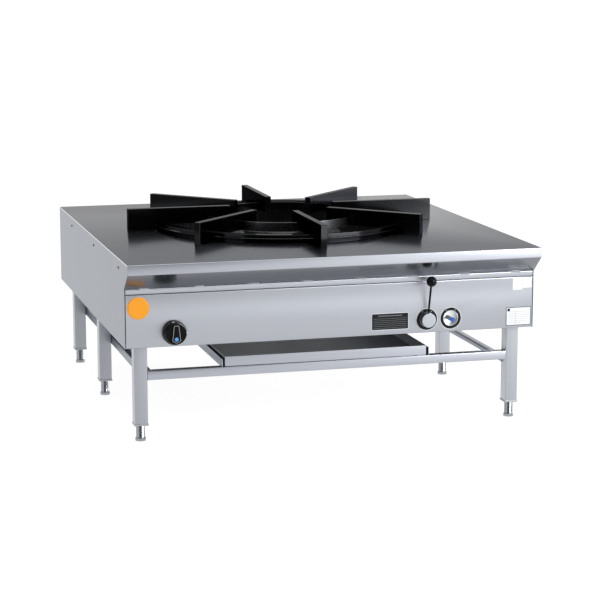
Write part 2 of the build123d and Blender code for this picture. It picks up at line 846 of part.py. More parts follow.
# Pilot tube, pilot burner and spark electrode on a bracket in the well
pilot_valve_top = knob_z + valve_width / 2
pilot_tube_y = burner_pipe_y
pilot_low = deck_top - pilot_low_drop
pilot_head_bottom = deck_top - pilot_head_drop
pilot_head_top = pilot_head_bottom + pilot_head_height
pilot_tube = pipe(
    [
        (knob_x, pilot_tube_y, pilot_valve_top),
        (knob_x, pilot_tube_y, pilot_low),
        (knob_x, pilot_y, pilot_low),
        (pilot_riser_x, pilot_y, pilot_low),
        (pilot_riser_x, pilot_y, pilot_level),
        (pilot_x, pilot_y, pilot_level),
        (pilot_x, pilot_y, pilot_head_bottom),
    ],
    pilot_tube_radius,
    pilot_tube_radius,
)
save("pilot_tube", pilot_tube)
pilot_head = rod_z(pilot_x, pilot_y, pilot_head_bottom, pilot_head_top, pilot_head_radius)
electrode_y = pilot_y + electrode_offset
electrode_top = deck_top + electrode_rise
electrode_bottom = electrode_top - electrode_height
electrode = rod_z(pilot_x, electrode_y, electrode_bottom, electrode_top, electrode_radius)
bracket_z = pilot_head_bottom + bracket_rise
bracket_top = bracket_z + bracket_sheet
bracket_rear = electrode_y + bracket_edge
corner_reach = bracket_rear - trivet_y
bracket_left = bracket_well_gap - math.sqrt((well_radius - well_sheet) ** 2 - corner_reach**2)
bracket = block(
    bracket_left, pilot_x + bracket_edge,
    pilot_y - bracket_edge, bracket_rear,
    bracket_z, bracket_top,
)
bracket -= rod_z(pilot_x, pilot_y, bracket_z - overcut, bracket_top + overcut, pilot_head_radius)
bracket -= rod_z(pilot_x, electrode_y, bracket_z - overcut, bracket_top + overcut, electrode_radius)
save("pilot_burner", Compound(children=[pilot_head, bracket, electrode]))

# Igniter: recessed cup, barrel with its piezo body, and button with its plunger
cup_back = panel_y + cup_depth
button_x = igniter_x + button_offset
cup = rod_y(igniter_x, control_z, panel_y, cup_back, cup_radius)
cup -= rod_y(igniter_x, control_z, panel_y - overcut, cup_back - cup_wall, cup_radius - cup_wall)
cup -= rod_y(button_x, control_z, panel_y, cup_back + overcut, barrel_radius)
save("igniter_cup", cup)
barrel = rod_y(button_x, control_z, panel_y - barrel_front, cup_back, barrel_radius)
barrel += rod_y(button_x, control_z, cup_back, cup_back + piezo_length, piezo_radius)
plunger_end = panel_y - button_back + plunger_length
barrel_bore_end = plunger_end + button_back - barrel_front
barrel_mouth = panel_y - barrel_front - overcut
barrel -= rod_y(button_x, control_z, barrel_mouth, barrel_bore_end, plunger_radius + running_clearance)
save("igniter_barrel", barrel)
button_face = panel_y - button_front
button_root = panel_y - button_back
button = cone_y(button_x, control_z, button_face, button_root, button_front_radius, button_back_radius)
button += rod_y(button_x, control_z, button_root, plunger_end, plunger_radius)
save("igniter_button", button)

# Badge, plates and labels on the control panel, all without words
badge_x = badge_from_left - side
badge_z = panel_top - badge_from_top
save("badge_disc", rod_y(badge_x, badge_z, panel_y - badge_thick, panel_y, badge_radius))
plate_left = lever_x - plate_from_lever
plate_low = control_z - plate_drop
data_left = side - data_from_right
data_low = panel_bottom + data_from_bottom
panel_plates = [
    plate(plate_left, plate_low, plate_width, plate_height, plate_thick, plate_corner),
    plate(data_left, data_low, data_width, data_height, data_thick, data_corner),
]
save("panel_plates", Compound(children=panel_plates))
label_front = panel_y - label_thick
labels = [
    ring_y(lever_x, control_z, label_front, panel_y, label_radius, lever_label_inner),
    ring_y(igniter_x, control_z, label_front, panel_y, label_radius, igniter_label_inner),
]
for from_right, from_top, wide, high in stickers:
    left_edge = side - from_right
    low_edge = panel_top - from_top
    labels.append(plate(left_edge, low_edge, wide, high, sticker_thick, sticker_corner))
save("panel_labels", Compound(children=labels))
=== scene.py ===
"""Looks for a stainless stockpot stove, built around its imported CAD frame."""

import math

import bmesh
import bpy
from mathutils import Matrix, Vector


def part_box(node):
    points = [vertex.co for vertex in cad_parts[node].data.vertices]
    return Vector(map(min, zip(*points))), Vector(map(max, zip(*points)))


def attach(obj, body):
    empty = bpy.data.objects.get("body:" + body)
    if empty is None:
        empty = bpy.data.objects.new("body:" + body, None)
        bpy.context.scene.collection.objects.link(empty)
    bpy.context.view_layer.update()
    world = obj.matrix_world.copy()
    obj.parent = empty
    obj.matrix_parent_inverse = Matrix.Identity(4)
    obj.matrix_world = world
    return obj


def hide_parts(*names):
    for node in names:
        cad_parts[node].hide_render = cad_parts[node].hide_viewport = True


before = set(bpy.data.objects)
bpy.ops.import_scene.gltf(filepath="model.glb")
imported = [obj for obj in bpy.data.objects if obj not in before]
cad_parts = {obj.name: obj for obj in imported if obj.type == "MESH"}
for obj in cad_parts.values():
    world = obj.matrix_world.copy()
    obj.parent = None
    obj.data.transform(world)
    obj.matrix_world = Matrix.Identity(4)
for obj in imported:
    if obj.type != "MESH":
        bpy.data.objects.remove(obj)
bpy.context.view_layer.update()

bl_info = {
    "name": "Stockpot stove",
    "version": (1, 0, 0),
    "blender": (4, 5, 0),
    "location": "3D View > Sidebar > Stove",
    "description": "Builds the visible pieces, finishes and studio of a stockpot stove",
    "category": "Object",
}

# Lengths below are in millimetres, and meshes are scaled to metres when they are finished.
MM = 0.001
# Steps round a circle: on rings and spun shapes, on bars and feet, on the well and hoops, on printed dots
CIRCLE = 72
SMALL_CIRCLE = 40
LARGE_CIRCLE = 144
TINY_CIRCLE = 20
# Steps round an edge, a softer edge, a corner and a fold
EDGE_STEPS = 2
SOFT_EDGE_STEPS = 3
CORNER_STEPS = 4
FOLD_STEPS = 5
# Points closer than this are one point
MERGE = 1e-4
# Edges sharper than this are rounded or shown sharp
SHARP = math.radians(35)
# Triangles flatter to each other than this become one face
FLAT = math.radians(0.5)
# A face looks along an axis when its normal's share along it is above this
FACING = 0.9
# How far a corner of a many-sided circle may lie from the true circle, and from its level
ROUND_SLACK = 0.3
LEVEL_SLACK = 0.01
# Rounding of the edges of small fittings
FINE_EDGE = 0.3
X_AXIS, Y_AXIS, Z_AXIS = range(3)
BODY = "stove"
HANDS = (-1, 1)
ROWS = ("front", "middle", "rear")
SIDES = ("left", "right")


def srgb(code):
    """An sRGB hex colour as linear RGBA."""
    channels = [int(code[i : i + 2], 16) / 255 for i in (1, 3, 5)]
    linear = [c / 12.92 if c <= 0.04045 else ((c + 0.055) / 1.055) ** 2.4 for c in channels]
    return (*linear, 1.0)


def colour(name, description, code):
    """A colour property with a hex default."""
    return bpy.props.FloatVectorProperty(
        name=name, description=description, subtype="COLOR", size=4, min=0, max=1, default=srgb(code)
    )


def length(name, description, millimetres):
    """A length property with a default in millimetres."""
    return bpy.props.FloatProperty(
        name=name, description=description, unit="LENGTH", min=0, precision=5, default=millimetres * MM
    )


class StoveSizes(bpy.types.PropertyGroup):
    """Small sizes of the finish that the frame doesn't set"""

    fold_radius: length("Fold radius", "Inner radius of the folds in the sheets", 1.2)
    sheet_edge: length("Sheet edge", "Rounding of the cut edges of the sheets", 0.3)
    tube_corner: length("Tube corner", "Outer corner radius of the square tubes", 2.5)
    plate_edge: length("Plate edge", "Rounding of the trivet plates' edges", 1.0)
    moulded_edge: length("Moulded edge", "Rounding of the plastic pieces' edges", 0.8)
    machined_edge: length("Machined edge", "Rounding of the machined and cast pieces' edges", 0.6)


class StoveColours(bpy.types.PropertyGroup):
    """Colours of the finishes"""

    steel: colour("Steel", "Brushed stainless steel of the body", "#adb0b8")
    tube: colour("Tube", "Brushed stainless steel of the legs", "#a6a9af")
    # The side panels' steel is a darker copy of the body's steel: painted shade on the sides
    side: colour("Side", "Brushed stainless steel of the side panels", "#959aa4")
    panel: colour("Panel", "Brushed stainless steel of the control panel", "#adb0b7")
    # The deck top's steel is a darker copy of the body's steel: painted shade
    deck_top: colour("Deck top", "Brushed stainless steel of the cooking deck", "#85888d")
    # The nose's steel is a darker copy of the body's steel: painted shade under the front edge
    nose_painted_shade: colour("Nose underside", "Steel of the slope under the front edge", "#7f8186")
    iron: colour("Iron", "Black enamel on the trivet", "#3a3b3d")
    badge: colour("Badge", "Disc on the control panel", "#f5a01f")
    blue: colour("Blue", "Igniter button", "#1f4fb0")
    dot: colour("Dot", "Dot on the knob", "#4d9de0")


# Places and small helpers


def span(node):
    """Lowest and highest corner of a CAD node, in millimetres."""
    low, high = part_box(node)
    return low / MM, high / MM


def middle(node):
    """Centre of a CAD node's box, in millimetres."""
    low, high = span(node)
    return (low + high) / 2


def in_mm(value):
    """A length property's value in millimetres."""
    return value / MM


# Mesh helpers


def outline_face(bm, points):
    """A face through 3D points."""
    return bm.faces.new([bm.verts.new(p) for p in points])


def push(bm, faces, vec):
    """Extrudes faces along a vector and closes the solid."""
    made = bmesh.ops.extrude_face_region(bm, geom=faces, use_keep_orig=True)
    verts = [v for v in made["geom"] if isinstance(v, bmesh.types.BMVert)]
    bmesh.ops.translate(bm, verts=verts, vec=vec)


def round_edges(bm, edges, offset, segments=CORNER_STEPS):
    """Rounds edges of a mesh."""
    if offset > 0 and edges:
        bmesh.ops.bevel(
            bm,
            geom=edges,
            offset=offset,
            offset_type="OFFSET",
            segments=segments,
            profile=0.5,
            affect="EDGES",
            material=-1,
            clamp_overlap=True,
        )


def block(bm, low, high):
    """Adds a box between two corners and gives back its points."""
    made = bmesh.ops.create_cube(bm, size=1)
    size = Vector(high) - Vector(low)
    centre = (Vector(high) + Vector(low)) / 2
    bmesh.ops.scale(bm, verts=made["verts"], vec=size)
    bmesh.ops.translate(bm, verts=made["verts"], vec=centre)
    return made["verts"]


def rod(bm, radius, start, end, steps=SMALL_CIRCLE):
    """Adds a round bar between two points."""
    start = Vector(start)
    end = Vector(end)
    line = end - start
    made = bmesh.ops.create_cone(
        bm, cap_ends=True, segments=steps, radius1=radius, radius2=radius, depth=line.length
    )
    turn = line.to_track_quat("Z", "Y").to_matrix()
    bmesh.ops.rotate(bm, verts=made["verts"], cent=(0, 0, 0), matrix=turn)
    bmesh.ops.translate(bm, verts=made["verts"], vec=(start + end) / 2)


def turned(bm, profile, centre, axis="Z", steps=CIRCLE, closed=True):
    """Adds a spun shape from a profile of (radius, place along the axis) points.

    Along Y, the place runs to the front.
    """
    others = set(bm.verts)
    verts = [bm.verts.new((r, 0, h)) for r, h in profile]
    pairs = list(zip(verts, verts[1:]))
    if closed and (profile[0][0] > 0 or profile[-1][0] > 0):
        pairs.append((verts[-1], verts[0]))
    edges = [bm.edges.new(pair) for pair in pairs]
    bmesh.ops.spin(
        bm,
        geom=verts + edges,
        cent=(0, 0, 0),
        axis=(0, 0, 1),
        angle=2 * math.pi,
        steps=steps,
        use_merge=True,
    )
    made = [v for v in bm.verts if v not in others]
    bmesh.ops.remove_doubles(bm, verts=made, dist=MERGE)
    made = [v for v in bm.verts if v not in others]
    if axis == "Y":
        turn = Matrix.Rotation(math.radians(90), 3, "X")
        bmesh.ops.rotate(bm, verts=made, cent=(0, 0, 0), matrix=turn)
    bmesh.ops.translate(bm, verts=made, vec=centre)


def new_object(bm, name):
    """Turns a bmesh in metres into an object at the origin."""
    mesh = bpy.data.meshes.new(name)
    bm.to_mesh(mesh)
    bm.free()
    made = bpy.data.objects.new(name, mesh)
    bpy.context.scene.collection.objects.link(made)
    return made


def to_object(bm, name, closed=True):
    """Turns a bmesh in millimetres into an object in metres at the origin."""
    bmesh.ops.remove_doubles(bm, verts=bm.verts, dist=MERGE)
    if closed:
        bmesh.ops.recalc_face_normals(bm, faces=bm.faces)
    bmesh.ops.scale(bm, verts=bm.verts, vec=(MM, MM, MM))
    return new_object(bm, name)


def bake(piece):
    """Applies a piece's modifiers to its mesh."""
    bpy.context.view_layer.update()
    graph = bpy.context.evaluated_depsgraph_get()
    mesh = bpy.data.meshes.new_from_object(piece.evaluated_get(graph))
    piece.modifiers.clear()
    old = piece.data
    piece.data = mesh
    bpy.data.meshes.remove(old)


def thicken(piece, sheet):
    """Gives an open skin its wall, behind the faces, and bakes it."""
    wall = piece.modifiers.new("Wall", "SOLIDIFY")
    wall.thickness = sheet * MM
    wall.offset = -1
    wall.use_even_offset = True
    bake(piece)


def combine(piece, shapes, operation):
    """Cuts the shapes of a bmesh out of a piece, or joins them to it."""
    tool = to_object(shapes, piece.name + "_tool")
    step = piece.modifiers.new("Combine", "BOOLEAN")
    step.operation = operation
    step.solver = "EXACT"
    step.object = tool
    bake(piece)
    mesh = tool.data
    bpy.data.objects.remove(tool)
    bpy.data.meshes.remove(mesh)


def folded(name, paths, sheet, fold, hollow_side):
    """Folded sheets along X. Each path is (x0, x1, points), and its (y, z) points follow the outer face.

    hollow_side is 1 where the sheet lies to the left of its path and -1 where it lies to the right.
    """
    bm = bmesh.new()
    folds = []
    for x0, x1, points in paths:
        verts = [bm.verts.new((x0, y, z)) for y, z in points]
        edges = [bm.edges.new(pair) for pair in zip(verts, verts[1:])]
        made = bmesh.ops.extrude_edge_only(bm, edges=edges)["geom"]
        moved = [v for v in made if isinstance(v, bmesh.types.BMVert)]
        bmesh.ops.translate(bm, verts=moved, vec=(x1 - x0, 0, 0))
        faces = [f for f in made if isinstance(f, bmesh.types.BMFace)]
        bmesh.ops.recalc_face_normals(bm, faces=faces)
        (y0, z0), (y1, z1) = points[:2]
        outward = Vector((0, z1 - z0, -(y1 - y0))) * hollow_side
        first = next(f for f in faces if verts[0] in f.verts)
        if first.normal.dot(outward) < 0:
            bmesh.ops.reverse_faces(bm, faces=faces)
        folds += [e for v in verts[1:-1] for e in v.link_edges if e not in edges]
    round_edges(bm, folds, fold, FOLD_STEPS)
    piece = to_object(bm, name, closed=False)
    thicken(piece, sheet)
    return piece


def square_tube(name, low, high, axis, wall, corner):
    """A square or oblong tube with round corners, open at both ends."""
    bm = bmesh.new()
    block(bm, low, high)
    bm.normal_update()
    ends = [f for f in bm.faces if abs(f.normal[axis]) > FACING]
    bmesh.ops.delete(bm, geom=ends, context="FACES_ONLY")
    corners = [e for e in bm.edges if len(e.link_faces) == 2]
    round_edges(bm, corners, corner)
    piece = to_object(bm, name, closed=False)
    thicken(piece, wall)
    return piece


def refined(node, name):
    """A copy of a CAD node's mesh, with its loose triangles merged into whole faces."""
    bm = bmesh.new()
    bm.from_mesh(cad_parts[node].data)
    bmesh.ops.remove_doubles(bm, verts=bm.verts, dist=MERGE * MM)
    bmesh.ops.dissolve_limit(bm, angle_limit=FLAT, verts=bm.verts, edges=bm.edges)
    return new_object(bm, name)


def finish(piece, body, materials, edge=0.0, nodes=(), segments=EDGE_STEPS):
    """Rounds a piece's sharp edges, gives it its finish, and lets it ride on its body.

    The piece stands in for the CAD nodes that are named.
    """
    piece.data.shade_smooth()
    if edge > 0:
        step = piece.modifiers.new("Edges", "BEVEL")
        step.width = edge * MM
        step.segments = segments
        step.limit_method = "ANGLE"
        step.angle_limit = SHARP
        step.harden_normals = True
        step.use_clamp_overlap = True
        step.material = -1
    else:
        piece.data.set_sharp_from_angle(angle=SHARP)
    piece.data.materials.clear()
    for material in materials:
        piece.data.materials.append(finishes[material])
    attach(piece, body)
    if nodes:
        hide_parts(*nodes)
    return piece


# Finishes


def add_node(tree, kind, inputs=None, **settings):
    """Adds a node, sets it, and fills or links its inputs."""
    made = tree.nodes.new(kind)
    for key, value in settings.items():
        setattr(made, key, value)
    for socket, source in (inputs or {}).items():
        if isinstance(source, bpy.types.NodeSocket):
            tree.links.new(source, made.inputs[socket])
        else:
            made.inputs[socket].default_value = source
    return made


def new_material(name):
    """A new material with its tree and its surface shader."""
    material = bpy.data.materials.new(name)
    material.use_nodes = True
    tree = material.node_tree
    return material, tree, tree.nodes["Principled BSDF"]


def shade_of(rgba, factor):
    """A colour scaled by a factor, kept within range."""
    return (*[min(c * factor, 1.0) for c in rgba[:3]], 1.0)


# Nearly all values of a noise pattern lie between these
NOISE_RANGE = (0.3, 0.7)


def vary_colour(tree, shader, pattern, base, contrast):
    """Lets a pattern vary the surface colour a little to both sides of its base."""
    tone = add_node(tree, "ShaderNodeValToRGB", {"Fac": pattern})
    for end, factor in enumerate((1 - contrast, 1 + contrast)):
        tone.color_ramp.elements[end].position = NOISE_RANGE[end]
        tone.color_ramp.elements[end].color = shade_of(base, factor)
    tree.links.new(tone.outputs["Color"], shader.inputs["Base Color"])


def vary_roughness(tree, shader, pattern, roughness, spread):
    """Lets a pattern vary the roughness to both sides of its base."""
    limits = {"Value": pattern, "To Min": max(roughness - spread, 0), "To Max": min(roughness + spread, 1)}
    rough = add_node(tree, "ShaderNodeMapRange", limits)
    tree.links.new(rough.outputs[0], shader.inputs["Roughness"])


# For a grain along X, Y or Z, a direction that lies across it on every sheet of the stove
ACROSS = ((0, 1, -1), (1, 0, 1), (1, 1, 0))
# How many times longer than wide a brushed scratch is
SCRATCH_LENGTH = 120
# Clouds in the sheet's brightness: how many in a metre, and their share beside the scratches
CLOUDS = 2.2
CLOUD_SHARE = 0.3
# How far the roughness follows the scratches, as a share of their contrast in colour
SCRATCH_ROUGHNESS = 0.6
# How far the roughness follows an even grain, and how deep the grain is, as a share of its size
GRAIN_ROUGHNESS = 0.15
GRAIN_DEPTH = 0.1


def brushed_stainless(name, base, roughness, along, grain=2.0, contrast=0.05, edge_tint=1.0, smear=0.4):
    """Cold-rolled stainless sheet with a fine brushed grain.

    The real grain is about 0.1 mm wide, too fine to show in the picture, so it is drawn 1 to 4 mm wide and
    faint. It gives the eye soft lines along the sheet, slow clouds of brightness, and reflections smeared
    across the grain, by the share smear. edge_tint dims what the sheet mirrors at a flat angle, which on the
    deck top is painted shade.
    """
    material, tree, shader = new_material(name)
    coordinates = add_node(tree, "ShaderNodeTexCoord").outputs["Object"]
    stretch = Vector((1, 1, 1)) / (grain * MM)
    stretch[along] = 1 / (SCRATCH_LENGTH * grain * MM)
    place = add_node(tree, "ShaderNodeMapping", {"Vector": coordinates, "Scale": stretch})
    scratches = {"Vector": place.outputs[0], "Scale": 1.0, "Detail": 3.0}
    lines = add_node(tree, "ShaderNodeTexNoise", scratches).outputs["Fac"]
    clouds = {"Vector": coordinates, "Scale": CLOUDS, "Detail": 2.0}
    cloud = add_node(tree, "ShaderNodeTexNoise", clouds).outputs["Fac"]
    shares = {"Factor": CLOUD_SHARE, "A": lines, "B": cloud}
    both = add_node(tree, "ShaderNodeMix", shares, data_type="FLOAT")
    vary_colour(tree, shader, both.outputs[0], base, contrast)
    vary_roughness(tree, shader, lines, roughness, SCRATCH_ROUGHNESS * contrast)
    turned_with_it = {"vector_type": "VECTOR", "convert_from": "OBJECT", "convert_to": "WORLD"}
    across = add_node(tree, "ShaderNodeVectorTransform", {"Vector": ACROSS[along]}, **turned_with_it)
    tree.links.new(across.outputs[0], shader.inputs["Tangent"])
    shader.inputs["Anisotropic"].default_value = smear
    shader.inputs["Metallic"].default_value = 1.0
    shader.inputs["Specular Tint"].default_value = (edge_tint, edge_tint, edge_tint, 1)
    return material


def speckled(
    name, base, roughness, metallic=0.0, size=1.5, bump=0.1, contrast=0.15, specular=0.5, edge_tint=1.0
):
    """A surface with an even grain, as cast, moulded, painted or plated surfaces have.

    The real grains are too fine to show in the picture, so they are drawn coarser and fainter. size is in
    millimetres.
    """
    material, tree, shader = new_material(name)
    coordinates = add_node(tree, "ShaderNodeTexCoord").outputs["Object"]
    specks = {"Vector": coordinates, "Scale": 1 / (size * MM), "Detail": 4.0}
    grain = add_node(tree, "ShaderNodeTexNoise", specks).outputs["Fac"]
    vary_colour(tree, shader, grain, base, contrast)
    vary_roughness(tree, shader, grain, roughness, GRAIN_ROUGHNESS * roughness)
    if bump:
        relief = {"Height": grain, "Strength": bump, "Distance": GRAIN_DEPTH * size * MM}
        raised = add_node(tree, "ShaderNodeBump", relief)
        tree.links.new(raised.outputs[0], shader.inputs["Normal"])
    shader.inputs["Metallic"].default_value = metallic
    shader.inputs["Specular Tint"].default_value = (edge_tint, edge_tint, edge_tint, 1)
    if not metallic:
        shader.inputs["Specular IOR Level"].default_value = specular
    return material


def make_materials(colours):
    """Every finish of the stove, by name."""
    made = {
        # Stainless steel brushed along each sheet: pale, with soft blurred reflections
        "sheet": brushed_stainless("brushed_stainless_front", colours.steel, 0.30, X_AXIS),
        # The side panels take a darker copy of the steel: painted shade, which the rails, frame, runners and
        # burner bars share
        "sheet_side_painted_shade": brushed_stainless("brushed_stainless_side_painted_shade", colours.side, 0.32, Y_AXIS, edge_tint=0.85),
        # The same steel a shade darker on the tray's floor: painted shade inside the tray
        "tray": brushed_stainless("brushed_stainless_tray_floor_painted_shade", srgb("#a2a5aa"), 0.3, X_AXIS),
        # Rougher tube for the legs. Their faces to the left and right take a paler copy: a painted highlight
        "tube": brushed_stainless("brushed_stainless_tube", colours.tube, 0.4, Z_AXIS),
        "tube_painted_highlight": brushed_stainless("brushed_stainless_painted_highlight_tube", srgb("#c2c4ca"), 0.4, Z_AXIS),
        # Finer upright brushing on the control panel, which draws each reflection out into a soft band
        "panel": brushed_stainless(
            "brushed_stainless_panel", colours.panel, 0.28, Z_AXIS, grain=1.0, contrast=0.012, smear=0.88
        ),
        # Pots rub the deck smoother, so it mirrors the trivet. Its colour, and what it mirrors at flat
        # angles, are painted darker than the rest of the sheet: painted shade on the top
        "deck_top": brushed_stainless(
            "brushed_stainless_deck_painted_shade", colours.deck_top, 0.16, X_AXIS, edge_tint=0.47, smear=0.75
        ),
        # The underside of the front edge isn't rubbed: it mirrors the panel below in long smears. Its colour
        # is painted darker than the rest of the sheet: painted shade under the edge
        "nose": brushed_stainless("brushed_stainless_painted_shade_nose", colours.nose_painted_shade, 0.15, X_AXIS, smear=0.9),
        # Steel of the raised rim, nearly black, with a thin bright line of reflection
        "rim": brushed_stainless("near_black_stainless_rim", srgb("#17171a"), 0.12, X_AXIS, edge_tint=0.3),
        # Steel of the well, dark grey and dull, in uneven patches
        "well": brushed_stainless(
            "dark_grey_stainless_well", srgb("#4a4a4c"), 0.30, Z_AXIS, grain=4.0, contrast=0.2
        ),
        # Turned and spun steel: even and bright, without visible lines. The deck's cut ends take a white copy
        # of the steel: a painted highlight
        "satin": brushed_stainless(
            "satin_turned_steel", srgb("#a4a7ae"), 0.34, X_AXIS, grain=1.0, contrast=0.03
        ),
        "painted_highlight_end": brushed_stainless(
            "white_steel_painted_highlight", srgb("#ffffff"), 0.3, Y_AXIS, grain=1.0, contrast=0.02
        ),
        "cup": brushed_stainless(
            "bright_spun_steel", srgb("#e6e9ec"), 0.4, X_AXIS, grain=1.0, contrast=0.02
        ),
        # Black enamel on iron plate: smooth and deep black, with a weak sheen that flat angles don't brighten
        "iron": speckled(
            "black_enamelled_iron", colours.iron, 0.13, metallic=1.0, size=2.5, bump=0.03, edge_tint=0.27
        ),
        # The same enamel in dull grey: a painted reflection on the outside of the inner band
        "band": speckled("enamelled_iron_painted_reflection", srgb("#77797d"), 0.28, metallic=1.0, size=2.5, bump=0.03),
        # Sand-cast iron: matt, dark and grainy
        "cast": speckled("cast_iron_burner", srgb("#19191a"), 0.6, size=1.8, bump=0.4, specular=0.3),
        # Chrome plate: smooth, nearly a mirror
        "chrome": speckled(
            "chrome_plate", srgb("#9a9da2"), 0.1, metallic=1.0, size=30, bump=0.0, contrast=0.03
        ),
        # Black oxide and blackened zinc: thin dark coats, dull beside the steel
        "oxide": speckled(
            "black_oxide_screw_steel", srgb("#0c0c0d"), 0.5, size=3, contrast=0.1, specular=0.1
        ),
        "zinc": speckled("blackened_zinc_plate", srgb("#141416"), 0.35, metallic=1.0, size=3, contrast=0.1),
        # Machined brass: yellow, with a soft even shine
        "brass": speckled("machined_brass", srgb("#b08a45"), 0.28, metallic=1.0, size=3, contrast=0.1),
        # Black steel pipe: mill scale, dark grey and slightly rough
        "pipe": speckled("black_steel_pipe", srgb("#2c2c2f"), 0.45, size=2.5, bump=0.2),
        # Drawn aluminium: pale and evenly bright
        "aluminium": speckled(
            "drawn_aluminium_tube", srgb("#c3c5c9"), 0.3, metallic=1.0, size=3, contrast=0.06
        ),
        # Injection-moulded plastics: a fine spark-eroded grain and an even gloss
        "plastic": speckled(
            "black_moulded_plastic", srgb("#0b0b0c"), 0.28, size=0.8, bump=0.06, specular=0.1
        ),
        "grey_plastic": speckled("grey_moulded_plastic", srgb("#6a6d70"), 0.4, size=0.8, bump=0.06),
        "blue_plastic": speckled(
            "blue_gloss_plastic", colours.blue, 0.2, size=1.0, bump=0.03, contrast=0.05
        ),
        # Enamel on the disc: one strong flat colour with a soft gloss
        "badge": speckled("orange_enamel_badge", colours.badge, 0.35, size=1.5, bump=0.03, contrast=0.03),
        # Printed metal and foil: near black, even and hardly glossy
        "plate": speckled(
            "dark_printed_plate", srgb("#141517"), 0.4, size=1.2, bump=0.04, contrast=0.08, specular=0.15
        ),
        "label": speckled(
            "black_printed_foil", srgb("#101112"), 0.35, size=1.2, bump=0.04, contrast=0.08, specular=0.2
        ),
        "frame": speckled("printed_grey_frame", srgb("#5c5f63"), 0.4, size=1.2, bump=0.04, contrast=0.05),
        "dot": speckled("blue_paint_dot", colours.dot, 0.35, size=1.0, bump=0.02, contrast=0.05),
    }
    # Screen-printed inks: flat and even. The grey also draws painted highlights on the knob's edges. Each row
    # is finish, name, colour and contrast
    inks = (
        ("white", "white_print", "#d9dce0", 0.02),
        ("mark", "grey_print_and_painted_highlight", "#8c8e90", 0.04),
        ("rule", "faint_grey_print", "#5d6063", 0.1),
        ("pale_rule", "pale_grey_print", "#9ba0a7", 0.1),
    )
    for key, name, code, contrast in inks:
        made[key] = speckled(name, srgb(code), 0.4, size=1.0, bump=0.02, contrast=contrast)
    return made


finishes = {}


def dress(nodes, material, edge, body=BODY):
    """Stands refined copies in for CAD nodes, with rounded edges and a finish."""
    for node in nodes:
        piece = refined(node, node + "_made")
        finish(piece, body, [material], edge, [node])


# Pieces


